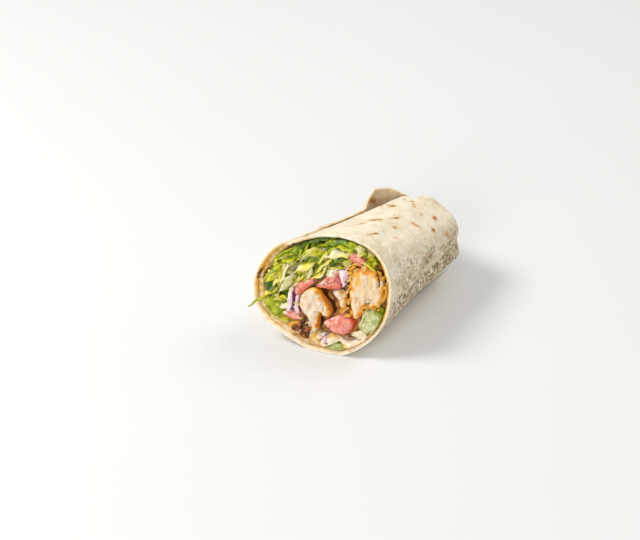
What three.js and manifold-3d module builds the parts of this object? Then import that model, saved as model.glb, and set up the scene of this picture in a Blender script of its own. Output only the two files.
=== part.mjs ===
// Half of a chicken kebab wrap, cut on the slant and lying on its side.
// Millimetres, +Z up. The roll runs along +Y, from the cut face to the folded end, and its
// underside is pressed flat at z = 0. The origin is the middle of the footprint, on the ground.
//
// Every piece is drawn in the roll's own section: x to the right and z up from the ground, as
// seen when looking into the cut face, and k, the share of the way from the cut face (0) to the
// folded end (1). inRoll() carries such a point into space, so the filling follows the bread.
import * as THREE from "three";
import { mergeVertices } from "three/addons/utils/BufferGeometryUtils.js";
import Module from "manifold-3d";

const wasm = await Module();
wasm.setup();

const DEGREE = Math.PI / 180;

// ---- Driving sizes -------------------------------------------------------------------------

// The roll. A wave is [how many times round, depth, the angle of its crest].
const ROLL_LENGTH = 93; // from the middle of the cut face to the edge of the folded end
const ROLL_RADIUS = 34.8; // mean radius at the cut
const ROLL_CENTRE_Z = 34.6;
const ROLL_TAPER = 0.74; // the folded end's size, as a share of the cut's
const REST_Z = 0.8; // the flat underside
const SAG = 2.2; // how far the lowest parts are pressed down
const SAG_HEIGHT = 8;
const CUT_WAVES = [
  [1, 1.2, -12],
  [2, 2.45, -41],
  [3, 1.15, -162],
  [4, 0.4, 166],
];
const END_WAVES = [
  [2, 0.9, 86],
  [3, 1.85, 152],
  [7, 1.85, 262],
];

// How far the slanted cut and the folded end lean back for each millimetre to the right, and up.
const CUT_LEAN = [0.45, 0.4];
const END_LEAN = [-0.04, -0.046];

// The flatbread is one sheet. Its outer edge lies along the roll's upper left, and from there
// the sheet goes round to the left, passes under its own edge and ends below the filling.
// Near the folded end that outer edge has come loose and stands up as a flap.
const BREAD = 2; // thickness
const GAP = 0.35; // between pieces, and between the bread's two layers
const EDGE_ANGLE = 142; // where the sheet's outer edge lies
const EDGE_FADE = 70; // degrees over which the sheet dips before it passes under that edge
const TAIL_ANGLE = 292; // where the sheet's inner end lies
const TAIL_FADE = 16;
const FLAP_LIFT = 11; // how far the loose outer edge stands up, at most
const FLAP_MIDDLE = 0.88; // where along the roll it stands highest
const FLAP_REACH = 0.21;
const FLAP_WIDTH = 62; // degrees
const SLIT_END = 0.985;
const CRUMPLE = { angle: 280, spread: 62, depth: 7.6, waves: 11, ripple: 1.9, crest: 20 };
const CAVITY_END = 0.93;

// The folded end: a rounded rim, then a shallow dish with pleats that run to its middle.
const RIM_ROUND = 6;
const DISH_DEPTH = 3.5;
const PLEATS = 7;
const PLEAT_DEPTH = 1.1;
const CREASE_DEPTH = 0.55; // soft creases along the roll, deepest near the folded end

// The filling.
const FINENESS = 0.15; // edges shorter than this are merged
const FILLING_END = 0.8;
const LETTUCE_END = 0.9;
const LETTUCE_RECESS = 4; // how far the lettuce's core lies behind the cut
const LETTUCE_GAP = 0.5; // between the lettuce and the other pieces, before edges are merged
const FRONT_BEVEL = 1.1;
const FRONT_SHARE = 0.86; // a piece's front face, as a share of its section
const AHEAD = 26; // how far ahead of the cut the cutting solids start
const HEAP_AHEAD = 2.4; // how far the filling stands out of the cut at most

// Cut pieces of filling, in the order in which they are laid: each is cut clear of those before
// it. The outline is the piece's section at the cut, and proud is how far it stands out of it.
const PIECES = [
  {
    name: "chicken_left",
    look: "chicken",
    proud: 1.6,
    outline: [
      [-4, 35.4], [0, 35.4], [4, 33.4], [7.4, 30], [9, 26], [8.8, 22], [6.6, 20.6], [4.4, 21],
      [3.8, 18.6], [4.6, 15], [3, 12], [1, 12.2], [-1, 16], [-4, 18.8], [-7.4, 21], [-9, 24.4],
      [-9.2, 29], [-7.6, 33],
    ],
  },
  {
    name: "chicken_right",
    look: "chicken",
    proud: 1.2,
    outline: [
      [14.6, 50.4], [19, 51.4], [24, 51.2], [28, 48.6], [30.2, 43], [31, 37], [30.6, 32.8],
      [28.4, 30.6], [25.4, 31.6], [23.8, 30.4], [24, 26.6], [22, 23.4], [19.2, 25], [16.8, 30],
      [15, 35], [13.8, 40], [13, 45.6],
    ],
  },
  {
    name: "chicken_seared_edge",
    look: "sear",
    proud: -0.4,
    outline: [[10.6, 51.6], [13, 51.8], [13.2, 47], [12.6, 42], [13.6, 37], [11.8, 38.6], [10.8, 45]],
  },
  {
    name: "chicken_middle",
    look: "chicken",
    proud: -0.6,
    outline: [
      [5.2, 35], [9, 36.8], [12, 35.6], [13.8, 31], [13.8, 27.4], [12, 26.2], [10.8, 28.2],
      [9.4, 30.8], [7.2, 32],
    ],
  },
  {
    name: "chicken_shred_right",
    look: "sear",
    proud: -0.8,
    outline: [[31.2, 43.8], [32.4, 44.4], [33.2, 40.8], [33, 36.6], [31.8, 33.6], [31.7, 37], [31.6, 40.6]],
  },
  {
    name: "chicken_charred_left",
    look: "char",
    proud: -0.8,
    outline: [[-4.6, 17], [-1.6, 15.8], [0.4, 13], [0.2, 10.2], [-2.8, 9.4], [-5.6, 11.2], [-6, 14.4]],
  },
  {
    name: "chicken_charred_outer",
    look: "sear",
    proud: 0.2,
    outline: [[-10, 15], [-7.6, 15.2], [-6.6, 13], [-7, 10.8], [-9, 11], [-10.2, 13]],
  },
  {
    name: "tomato_lower",
    look: "tomato",
    proud: 1,
    outline: [
      [5.8, 17.8], [8.6, 20.8], [12, 22.8], [17, 22.8], [20.2, 22.4], [21.2, 19], [19.8, 15.2],
      [16.8, 12.8], [13, 13.2], [9, 15],
    ],
  },
  {
    name: "tomato_upper",
    look: "tomato",
    proud: 0.4,
    outline: [[8.8, 57.6], [11, 58.8], [15, 56.8], [19, 54], [19.4, 52.2], [16.4, 52.4], [12, 54]],
  },
  {
    name: "tomato_middle",
    look: "tomato",
    proud: 0.8,
    outline: [[-3.2, 36.6], [-1, 40.6], [1.4, 44], [5.6, 47.6], [6.4, 44], [8.6, 40], [9, 37.6], [5.2, 37]],
  },
  {
    name: "onion_middle",
    look: "onion",
    proud: 0.4,
    outline: [[6.2, 47.6], [10, 49], [11.8, 45.6], [11.8, 40.6], [10.2, 38.6], [9.4, 40.6], [7.2, 44]],
  },
  {
    name: "tomato_left",
    look: "tomato",
    proud: 0.2,
    outline: [
      [-14, 33.8], [-12, 37.2], [-9, 40.4], [-5.8, 41], [-5.4, 37.4], [-8.4, 33.6], [-11, 29.6],
      [-13.2, 30.2],
    ],
  },
  {
    name: "tomato_lower_left",
    look: "tomato",
    proud: 0.6,
    outline: [
      [-16.4, 18.6], [-15, 20.6], [-10.6, 19.8], [-7.4, 17.4], [-7.8, 15.8], [-11.6, 16],
      [-15.6, 17],
    ],
  },
  {
    name: "onion_left_outer",
    look: "onion",
    proud: 0.9,
    outline: [[-16.4, 31.4], [-14.4, 31.8], [-13, 27], [-12.2, 20.8], [-14.4, 20.4], [-15.6, 25]],
  },
  {
    name: "onion_left_inner",
    look: "onion",
    proud: 0.4,
    outline: [[-12.6, 29.4], [-10.6, 28.8], [-9.8, 24], [-8, 20.6], [-9.8, 19.6], [-11.4, 21.6], [-12, 25]],
  },
  {
    name: "onion_bottom",
    look: "onion",
    inBread: true,
    proud: 0.8,
    outline: [[6.6, 6.4], [7.6, 9.2], [8.6, 10.2], [10, 9], [11.2, 6.8], [9, 6]],
  },
  {
    name: "cucumber_right",
    look: "cucumber",
    proud: 0.9,
    outline: [
      [24.4, 28.4], [26.6, 30], [30, 29.8], [33.4, 28.6], [35, 25], [34.2, 20.4], [31.6, 17.4],
      [28, 16], [25.4, 17.6], [23.6, 20], [24.4, 24],
    ],
  },
  {
    name: "cucumber_bottom",
    look: "cucumber",
    inBread: true,
    proud: 0.3,
    outline: [[9.4, 3.4], [12, 6.4], [15.6, 8], [18.6, 7.6], [20.4, 4.6], [19.6, 3.4], [14, 2.9]],
  },
  {
    name: "cucumber_upper",
    look: "cucumber",
    proud: 0.3,
    outline: [[17.4, 63.2], [20.4, 63.2], [23.6, 60.4], [25.6, 57.4], [25, 56.4], [21.4, 58], [18.2, 60.6]],
  },
];
const OUTLINE_STEP = 2; // spacing of the points along a piece's smoothed outline

// The lettuce strips that show, each from one end of its middle line to the other in the
// section, then its width: [x, z, x, z, width].
const LEAVES = [
  [-0.3, 55.9, 9, 57.6, 4.2],
  [-10.6, 52.9, -7.1, 57.4, 5.1],
  [-15, 45.6, -7.3, 49.6, 3.8],
  [-21.8, 35.9, -20.8, 45.8, 3.6],
  [-19, 31.2, -17.1, 39.9, 2.9],
  [-6.2, 41, -0.3, 48.7, 2.4],
  [-5.1, 45.4, 1.2, 53.4, 2.6],
  [1.3, 49.9, 8.5, 54.3, 2.7],
  [-14.1, 54.2, -13.1, 59.6, 2.8],
  [-12.3, 61.2, -4.1, 64.6, 3.4],
  [-1.4, 62.6, 7.2, 65.4, 3.5],
  [7.7, 65.2, 11.6, 61.6, 3.6],
  [2.8, 60.8, 10.6, 59.6, 2.3],
  [12.7, 62.8, 16.6, 58.4, 2.2],
  [-16.1, 49.1, -15.8, 55.6, 1.9],
  [-17.9, 55.2, -14.6, 59.6, 2.5],
  [-28.1, 41.1, -24.1, 42.8, 2.9],
  [-28.6, 34.6, -23.9, 31, 3.4],
  [-26, 33.8, -22.3, 39.9, 2.9],
  [-28.6, 28, -25, 29.7, 2.6],
  [-25.8, 26.2, -18, 18.3, 4.4],
  [-26.6, 20.4, -21.6, 16.4, 2.3],
  [-20.6, 15.4, -13.2, 14, 2.5],
  [-27.8, 24.6, -25.6, 21.4, 2],
  [-23.5, 48.2, -18.1, 49.3, 2.6],
];
const LEAF = { proud: 1.3, deep: -5, thickness: 1.3, wave: 0.5, steps: 4 };

// One strip hangs out over the rim on the left: [x, z, how far ahead of the cut].
const STRAY = {
  path: [[-27, 27.4, -5], [-28.8, 25.2, 1.1], [-31.6, 22.4, 1.2], [-34, 19.4, 1.4]],
  width: 1.8,
};

// Smaller shreds between them, thinning out to the lower right. Length, width and curl are ranges.
const SHREDS = {
  count: 34,
  seed: 20817,
  from: -8, // degrees of the section that the lettuce fills
  to: 238,
  inner: 0.42, // share of the cavity's radius where it starts
  outer: 0.93,
  length: [7, 15],
  width: [1.8, 4.2],
  curl: [-110, 110],
  depth: [-3.8, -0.6], // of a shred's middle, from the cut
  thickness: 1,
  steps: 4,
};

const LOOKS = {
  bread: { color: 0xe6d5b4, roughness: 0.82 },
  lettuce: { color: 0xa9bf4b, roughness: 0.5 },
  chicken: { color: 0xe6c79a, roughness: 0.6 },
  sear: { color: 0xc8741f, roughness: 0.55 },
  char: { color: 0x4a2010, roughness: 0.6 },
  tomato: { color: 0xd9716a, roughness: 0.35 },
  onion: { color: 0xe0c8d2, roughness: 0.4 },
  cucumber: { color: 0xb9c97a, roughness: 0.4 },
};

// ---- The roll's shape ----------------------------------------------------------------------

const mix = (a, b, share) => a + (b - a) * share;
const clamp01 = (value) => Math.min(1, Math.max(0, value));
const smooth = (from, to, value) => {
  const share = clamp01((value - from) / (to - from));
  return share * share * (3 - 2 * share);
};
const bump = (middle, reach, value) => {
  const away = Math.min(1, Math.abs(value - middle) / reach);
  return (1 - away * away) ** 2;
};
const turnFrom = (start, degrees) => (((degrees - start) % 360) + 360) % 360;
const wavesAt = (waves, degrees) =>
  waves.reduce(
    (sum, [times, depth, crest]) =>
      sum + depth * Math.cos((times * degrees - crest) * DEGREE),
    0,
  );

const leant = ([right, up], x, z) => right * x + up * (z - ROLL_CENTRE_Z);

// A point of the section, carried k of the way along the roll and then moved by ahead.
function inRoll(x, z, k, ahead = 0) {
  const scale = mix(1, ROLL_TAPER, k);
  const y = mix(leant(CUT_LEAN, x, z), ROLL_LENGTH + leant(END_LEAN, x, z), k) - ahead;
  return new THREE.Vector3(x * scale, y, z * scale);
}

// The roll's own weight presses what lies lowest flat onto the ground.
function settled(point) {
  point.z = Math.max(REST_Z, point.z - SAG * Math.max(0, 1 - point.z / SAG_HEIGHT));
  return point.toArray();
}

// The bread's outer radius in the section, with no step at its edge.
function plainRadius(degrees, k) {
  const waves = mix(
    wavesAt(CUT_WAVES, degrees),
    wavesAt(END_WAVES, degrees),
    smooth(0, 1, k),
  );
  const creases =
    CREASE_DEPTH * smooth(0.05, 1, k) * Math.cos((9 * degrees + 160 * k) * DEGREE);
  return ROLL_RADIUS + waves + creases;
}

// How far the sheet has dipped below its own outer edge: 0 just after the edge, full before it.
const dipAt = (degrees) =>
  (BREAD + GAP) * smooth(360 - EDGE_FADE, 360, turnFrom(EDGE_ANGLE, degrees));

function flapAt(degrees, k) {
  const past = turnFrom(EDGE_ANGLE, degrees);
  const held = past > 180 ? 0 : 1 - smooth(0, FLAP_WIDTH, past);
  return FLAP_LIFT * held * bump(FLAP_MIDDLE, FLAP_REACH, k);
}

const outerRadius = (degrees, k) =>
  plainRadius(degrees, k) - dipAt(degrees) + flapAt(degrees, k);

// The second layer of bread runs from the outer edge round to the sheet's inner end.
const secondLayerAt = (degrees) => {
  const past = turnFrom(EDGE_ANGLE, degrees);
  const tail = turnFrom(EDGE_ANGLE, TAIL_ANGLE);
  return past > 359 ? 1 : 1 - smooth(tail - TAIL_FADE, tail, past);
};

// How far the crumpled inner end of the sheet stands into the filling.
function crumpleAt(degrees) {
  const { angle, spread, depth, waves, ripple, crest } = CRUMPLE;
  const held = bump(angle, spread, turnFrom(0, degrees));
  return held * (depth + ripple * Math.cos((waves * degrees - crest) * DEGREE));
}

function cavityRadius(degrees, k) {
  const past = turnFrom(EDGE_ANGLE, degrees);
  const layers = past > 360 - EDGE_FADE ? dipAt(degrees) : (BREAD + GAP) * secondLayerAt(degrees);
  return plainRadius(degrees, k) - BREAD - layers - crumpleAt(degrees);
}

const onRay = (degrees, radius) => [
  radius * Math.cos(degrees * DEGREE),
  ROLL_CENTRE_Z + radius * Math.sin(degrees * DEGREE),
];

// ---- Geometry helpers ----------------------------------------------------------------------

// A closed cylinder geometry, each of whose points is placed by at(degrees, row, share), where
// share is 0 on the axis and 1 on the wall.
function turned(sides, rows, at) {
  const geometry = new THREE.CylinderGeometry(1, 1, 1, sides, rows);
  const position = geometry.getAttribute("position");
  for (let i = 0; i < position.count; i++) {
    const x = position.getX(i);
    const z = position.getZ(i);
    const row = Math.round((position.getY(i) + 0.5) * rows);
    const degrees = Math.atan2(z, x) / DEGREE;
    position.setXYZ(i, ...at(degrees, row, Math.round(Math.hypot(x, z))));
  }
  return geometry;
}

// A closed slab, each of whose points is placed by at(u, v, w). Both faces are split alike.
function slab(stepsU, stepsV, at) {
  const points = [];
  const index = [];
  const id = (i, j, w) => 2 * (i * (stepsV + 1) + j) + w;
  const quad = (a, b, c, d) => index.push(a, b, c, a, c, d);
  for (let i = 0; i <= stepsU; i++)
    for (let j = 0; j <= stepsV; j++)
      for (const w of [0, 1]) points.push(at(i / stepsU, j / stepsV, w));
  for (let i = 0; i < stepsU; i++)
    for (let j = 0; j < stepsV; j++) {
      quad(id(i, j, 1), id(i + 1, j, 1), id(i + 1, j + 1, 1), id(i, j + 1, 1));
      const [a, b, c, d] = [id(i, j, 0), id(i + 1, j, 0), id(i + 1, j + 1, 0), id(i, j + 1, 0)];
      index.push(a, c, b, a, d, c);
    }
  for (let i = 0; i < stepsU; i++) {
    quad(id(i, 0, 0), id(i + 1, 0, 0), id(i + 1, 0, 1), id(i, 0, 1));
    quad(id(i, stepsV, 1), id(i + 1, stepsV, 1), id(i + 1, stepsV, 0), id(i, stepsV, 0));
  }
  for (let j = 0; j < stepsV; j++) {
    quad(id(0, j, 1), id(0, j + 1, 1), id(0, j + 1, 0), id(0, j, 0));
    quad(id(stepsU, j, 0), id(stepsU, j + 1, 0), id(stepsU, j + 1, 1), id(stepsU, j, 1));
  }
  return new THREE.BufferGeometry().setFromPoints(points).setIndex(index);
}

function solidOf(geometry) {
  geometry.deleteAttribute("normal");
  geometry.deleteAttribute("uv");
  const merged = mergeVertices(geometry, 1e-4);
  return new wasm.Manifold(
    new wasm.Mesh({
      numProp: 3,
      vertProperties: merged.getAttribute("position").array,
      triVerts: new Uint32Array(merged.index.array),
    }),
  );
}

function meshOf(name, solid, look) {
  const made = solid.getMesh();
  const geometry = new THREE.BufferGeometry();
  geometry.setAttribute("position", new THREE.BufferAttribute(made.vertProperties, 3));
  geometry.setIndex(new THREE.BufferAttribute(made.triVerts, 1));
  geometry.computeVertexNormals();
  const mesh = new THREE.Mesh(geometry, new THREE.MeshStandardMaterial(LOOKS[look]));
  mesh.name = name;
  return mesh;
}

const joined = (solids) => solids.reduce((sum, solid) => sum.add(solid));

// A cut can leave loose scraps: only the largest piece is kept.
const largest = (solid) =>
  solid.decompose().reduce((a, b) => (b.volume() > a.volume() ? b : a));

// ---- The bread -----------------------------------------------------------------------------

const BREAD_SIDES = 72;
const BREAD_ROWS = [0, 0.16, 0.32, 0.48, 0.6, 0.68, 0.74, 0.79, 0.84, 0.89, 0.93, 0.97, 1];
const RIM_ANGLES = [30, 60, 90];
const DISH_SHARES = [0.72, 0.4];
const CAVITY_SIDES = 48;

// The columns are spread evenly but for two that meet at the sheet's outer edge.
const EDGE_COLUMN = Math.round((EDGE_ANGLE / 360) * BREAD_SIDES);
const EDGE_STEP = 0.6;
function breadColumn(degrees) {
  const column = Math.round((turnFrom(0, degrees) / 360) * BREAD_SIDES);
  if (column === EDGE_COLUMN) return EDGE_ANGLE + EDGE_STEP;
  if (column === EDGE_COLUMN - 1) return EDGE_ANGLE - EDGE_STEP;
  return degrees;
}

function breadOutside() {
  const rows = BREAD_ROWS.length - 1 + RIM_ANGLES.length + DISH_SHARES.length;
  const rimStart = BREAD_ROWS.length;
  const dishStart = rimStart + RIM_ANGLES.length;
  const endRadius = ROLL_RADIUS * ROLL_TAPER;
  return solidOf(
    turned(BREAD_SIDES, rows, (column, row, share) => {
      const degrees = breadColumn(column);
      const front = row === 0;
      if (front && !share) return inRoll(0, ROLL_CENTRE_Z, 0).toArray();
      if (row < rimStart) {
        const k = BREAD_ROWS[row];
        return settled(inRoll(...onRay(degrees, outerRadius(degrees, k)), k));
      }
      const onRim = row < dishStart;
      const angle = onRim ? RIM_ANGLES[row - rimStart] * DEGREE : 90 * DEGREE;
      const rim = endRadius - RIM_ROUND * (1 - Math.cos(angle));
      const dish = onRim ? 1 : share ? DISH_SHARES[row - dishStart] : 0;
      const pleat = PLEAT_DEPTH * Math.cos(PLEATS * degrees * DEGREE) * Math.sin(Math.PI * dish * 0.8);
      const back = RIM_ROUND * Math.sin(angle) - DISH_DEPTH * (1 - dish) + (onRim ? 0 : pleat);
      const beyond = 1 + (RIM_ROUND * Math.sin(angle)) / ROLL_LENGTH;
      const radius = (outerRadius(degrees, beyond) * rim * dish) / endRadius;
      return settled(inRoll(...onRay(degrees, radius), 1, -back));
    }),
  );
}

// The space inside the bread, taken in by inset, which starts ahead of the cut.
function cavity(inset, ahead = AHEAD) {
  const ks = [0, 0, 0.35, 0.7, CAVITY_END];
  return solidOf(
    turned(CAVITY_SIDES, ks.length - 1, (degrees, row, share) => {
      const k = ks[row];
      const onward = [ahead, 0, 0, 0, inset][row];
      const radius = (cavityRadius(degrees, k) - inset) * share;
      return inRoll(...onRay(degrees, radius), k, onward).toArray();
    }),
  );
}

// The slit between the bread's two layers, which opens under the loose edge.
function slit() {
  const ks = [0, 0, 0.32, 0.6, 0.68, 0.74, 0.79, 0.84, 0.89, 0.93, 0.97, SLIT_END];
  const from = EDGE_ANGLE - 2 * EDGE_STEP;
  const to = TAIL_ANGLE - TAIL_FADE;
  return solidOf(
    slab(20, ks.length - 1, (u, v, w) => {
      const degrees = mix(to, from, u);
      const row = Math.round(v * (ks.length - 1));
      const k = ks[row];
      const upper = Math.max(degrees, EDGE_ANGLE + EDGE_STEP);
      const under = plainRadius(degrees, k) - BREAD - GAP;
      const over = plainRadius(degrees, k) - BREAD + flapAt(upper, k);
      return inRoll(...onRay(degrees, w ? over : under), k, row ? 0 : AHEAD);
    }),
  );
}

function breadSolid() {
  const pockets = PIECES.filter((piece) => piece.inBread).map((piece) => pieceCutter(piece));
  return largest(breadOutside().subtract(joined([cavity(0), slit(), ...pockets])));
}

// ---- The filling ---------------------------------------------------------------------------

// A piece's outline, smoothed, grown sideways by grow and with evenly spread points.
function smoothed(outline, grow) {
  const curve = new THREE.CatmullRomCurve3(
    outline.map(([x, z]) => new THREE.Vector3(x, z)),
    true,
    "centripetal",
  );
  const points = curve.getSpacedPoints(Math.round(curve.getLength() / OUTLINE_STEP)).slice(0, -1);
  if (THREE.ShapeUtils.isClockWise(points)) points.reverse();
  return points.map((point, i) => {
    const before = points.at(i - 1);
    const after = points[(i + 1) % points.length];
    const along = after.clone().sub(before).normalize();
    return new THREE.Vector2(point.x + grow * along.y, point.y - grow * along.x);
  });
}

// An outline as a bar that runs along the roll: each of its ends has a place and a size.
function bar(points, ends) {
  const middle = new THREE.Box2().setFromPoints(points).getCenter(new THREE.Vector2());
  const steps = ends.length - 1;
  const geometry = new THREE.ExtrudeGeometry(new THREE.Shape(points), {
    depth: 1,
    steps,
    bevelEnabled: false,
  });
  const position = geometry.getAttribute("position");
  for (let i = 0; i < position.count; i++) {
    const { k, ahead, size } = ends[Math.round((1 - position.getZ(i)) * steps)];
    const x = mix(middle.x, position.getX(i), size);
    const z = mix(middle.y, position.getY(i), size);
    position.setXYZ(i, ...inRoll(x, z, k, ahead).toArray());
  }
  return solidOf(geometry);
}

const pieceSolid = ({ outline, proud }) =>
  bar(smoothed(outline, 0), [
    { k: 0, ahead: proud, size: FRONT_SHARE },
    { k: 0, ahead: proud - FRONT_BEVEL, size: 1 },
    { k: FILLING_END, ahead: 0, size: 1 },
  ]);

const pieceCutter = ({ outline }, gap = GAP) =>
  bar(smoothed(outline, gap), [
    { k: 0, ahead: AHEAD, size: 1 },
    { k: 0, ahead: 0, size: 1 },
    { k: FILLING_END, ahead: -gap, size: 1 },
  ]);

// A seeded draw from 0 to 1.
function draws(seed) {
  let state = seed;
  return () => {
    state = (Math.imul(state, 1664525) + 1013904223) >>> 0;
    return state / 2 ** 32;
  };
}

const insideOutline = (x, z, outline) =>
  outline.reduce((inside, [ax, az], i) => {
    const [bx, bz] = outline.at(i - 1);
    const crosses = az > z !== bz > z && x < ax + ((bx - ax) * (z - az)) / (bz - az);
    return crosses ? !inside : inside;
  }, false);

// A strip of leaf, curled along its length, with its middle at centre and its flat side turned
// about its own length by roll.
function shred({ centre, heading, tilt, roll, length, width, curl, thickness }) {
  const turn = new THREE.Quaternion().setFromEuler(new THREE.Euler(tilt, heading, roll, "YXZ"));
  const bend = curl * DEGREE;
  return solidOf(
    slab(SHREDS.steps, 1, (u, v, w) => {
      const angle = (u - 0.5) * bend;
      const reach = Math.abs(bend) < 0.01 ? length : length / bend;
      const narrow = 1 - 0.45 * (2 * u - 1) ** 2;
      const local = new THREE.Vector3(
        Math.abs(bend) < 0.01 ? (u - 0.5) * length : reach * Math.sin(angle),
        (v - 0.5) * width * narrow,
        Math.abs(bend) < 0.01 ? 0 : reach * (1 - Math.cos(angle)),
      );
      const normal = new THREE.Vector3(-Math.sin(angle), 0, Math.cos(angle));
      local.addScaledVector(normal, (w - 0.5) * thickness);
      return local.applyQuaternion(turn).add(centre);
    }),
  );
}

function shreds(draw) {
  const between = ([low, high]) => mix(low, high, draw());
  const made = [];
  for (let tries = 0; made.length < SHREDS.count && tries < 40 * SHREDS.count; tries++) {
    const degrees = mix(SHREDS.from, SHREDS.to, draw());
    const share = Math.sqrt(mix(SHREDS.inner ** 2, SHREDS.outer ** 2, draw()));
    const [x, z] = onRay(degrees, cavityRadius(degrees, 0) * share);
    const strip = {
      centre: inRoll(x, z, 0, between(SHREDS.depth)),
      heading: mix(-0.5, 0.5, draw()),
      tilt: mix(-0.7, 0.7, draw()),
      roll: mix(0, Math.PI, draw()),
      length: between(SHREDS.length),
      width: between(SHREDS.width),
      curl: between(SHREDS.curl),
      thickness: SHREDS.thickness,
    };
    if (!PIECES.some(({ outline }) => insideOutline(x, z, outline))) made.push(shred(strip));
  }
  return made;
}

// A strip of leaf seen at the cut: one long edge stands out of it, the other is rooted deep.
function leafStrip([x1, z1, x2, z2, width], draw) {
  const along = new THREE.Vector2(x2 - x1, z2 - z1).normalize();
  const side = draw() < 0.5 ? 1 : -1;
  const phase = 2 * Math.PI * draw();
  return solidOf(
    slab(LEAF.steps, 1, (u, v, w) => {
      const off = side * (v - 0.5) * width * (1 - 0.5 * (2 * u - 1) ** 4);
      const wave = LEAF.wave * Math.sin(phase + 5 * u);
      const ahead = mix(LEAF.proud, LEAF.deep, v) + wave + side * w * LEAF.thickness;
      return inRoll(mix(x1, x2, u) - off * along.y, mix(z1, z2, u) + off * along.x, 0, ahead);
    }),
  );
}

// The strip that hangs out over the rim.
function strayStrip() {
  const { path, width } = STRAY;
  return solidOf(
    slab(path.length - 1, 1, (u, v, w) => {
      const [x, z, ahead] = path[Math.round(u * (path.length - 1))];
      const off = ((v - 0.5) * width) / Math.SQRT2;
      return inRoll(x + off, z - off, 0, ahead + (w - 0.5));
    }),
  );
}

function lettuceSolid() {
  const room = cavity(GAP, HEAP_AHEAD);
  const others = joined(PIECES.map((piece) => pieceCutter(piece, LETTUCE_GAP)));
  const ends = [0, LETTUCE_END];
  const draw = draws(SHREDS.seed);
  const core = solidOf(
    turned(CAVITY_SIDES, 1, (degrees, row, share) => {
      const k = ends[row];
      const radius = (cavityRadius(degrees, k) - GAP) * share;
      return inRoll(...onRay(degrees, radius), k, row ? 0 : -LETTUCE_RECESS).toArray();
    }),
  );
  const leaves = LEAVES.map((leaf) => leafStrip(leaf, draw));
  const heap = joined([core, ...leaves, ...shreds(draw)]).intersect(room).subtract(others);
  return largest(heap.add(strayStrip()).asOriginal().simplify(FINENESS));
}

// ---- The whole wrap ------------------------------------------------------------------------

const wrap = new THREE.Group();
wrap.add(meshOf("flatbread", breadSolid(), "bread"));

const room = cavity(GAP, AHEAD);
const cutters = [];
for (const piece of PIECES) {
  const whole = piece.inBread ? pieceSolid(piece) : pieceSolid(piece).intersect(room);
  const solid = cutters.length ? whole.subtract(joined(cutters)) : whole;
  wrap.add(meshOf(piece.name, largest(solid), piece.look));
  cutters.push(pieceCutter(piece));
}
wrap.add(meshOf("lettuce", lettuceSolid(), "lettuce"));

// The footprint's middle goes to the origin.
const box = new THREE.Box3().setFromObject(wrap);
wrap.position.set(-(box.min.x + box.max.x) / 2, -(box.min.y + box.max.y) / 2, -box.min.z);

export default wrap;
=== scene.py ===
"""Half a chicken kebab wrap, cut on the slant: its looks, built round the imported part.

Everything is in metres in the part's frame: the roll runs along +Y from the cut to the folded
end. As in the part, every piece is drawn in the roll's own section, in millimetres: x to the
right and z up as seen when looking into the cut, with the depth behind the cut as the third
coordinate. Roll.place() carries such a point into space, so the filling follows the bread.
"""

import itertools
import logging
import math
import random
from dataclasses import dataclass
from enum import Enum

import bpy
import numpy as np
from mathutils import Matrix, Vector


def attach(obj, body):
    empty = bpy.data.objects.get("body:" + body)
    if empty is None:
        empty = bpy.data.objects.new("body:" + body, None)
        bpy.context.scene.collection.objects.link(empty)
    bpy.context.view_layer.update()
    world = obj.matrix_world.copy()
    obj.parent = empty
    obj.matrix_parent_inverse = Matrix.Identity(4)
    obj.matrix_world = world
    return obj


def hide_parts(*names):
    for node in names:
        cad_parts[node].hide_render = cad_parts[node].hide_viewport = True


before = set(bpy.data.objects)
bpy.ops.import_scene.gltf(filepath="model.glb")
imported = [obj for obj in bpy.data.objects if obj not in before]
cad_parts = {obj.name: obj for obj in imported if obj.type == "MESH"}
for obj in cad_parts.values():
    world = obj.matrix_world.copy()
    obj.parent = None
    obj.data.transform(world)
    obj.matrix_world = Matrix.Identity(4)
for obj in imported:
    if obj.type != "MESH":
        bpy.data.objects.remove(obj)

logging.basicConfig(level=logging.INFO, format="%(message)s")
log = logging.getLogger("wrap")

MM = 0.001
SHIFT = np.array((-0.206, -38.649, -0.8))  # from the roll's drawing to the part's frame, in mm
NEAR = 7.0  # down to here a depth behind the cut is the real one, in mm
FAR = 11.0  # a bar's depth is drawn down to here, and its end lies much further back
BACK = 0.8  # where along the roll that end lies, as a share of the way to the folded end
Points = tuple[tuple[float, float], ...]


# ---- Small sums ---------------------------------------------------------------------------


def smooth(low: float, high: float, value: np.ndarray) -> np.ndarray:
    """A soft step from 0 at low to 1 at high."""
    share = np.clip((value - low) / (high - low), 0.0, 1.0)
    return share * share * (3.0 - 2.0 * share)


def bump(middle: float, reach: float, value: np.ndarray) -> np.ndarray:
    """A soft hill of height 1 round middle, 0 from reach onwards."""
    away = np.minimum(1.0, np.abs(value - middle) / reach)
    return (1.0 - away * away) ** 2


def mix(a: np.ndarray, b: np.ndarray, share: np.ndarray) -> np.ndarray:
    """The value that lies share of the way from a to b."""
    return a + (b - a) * share


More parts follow.
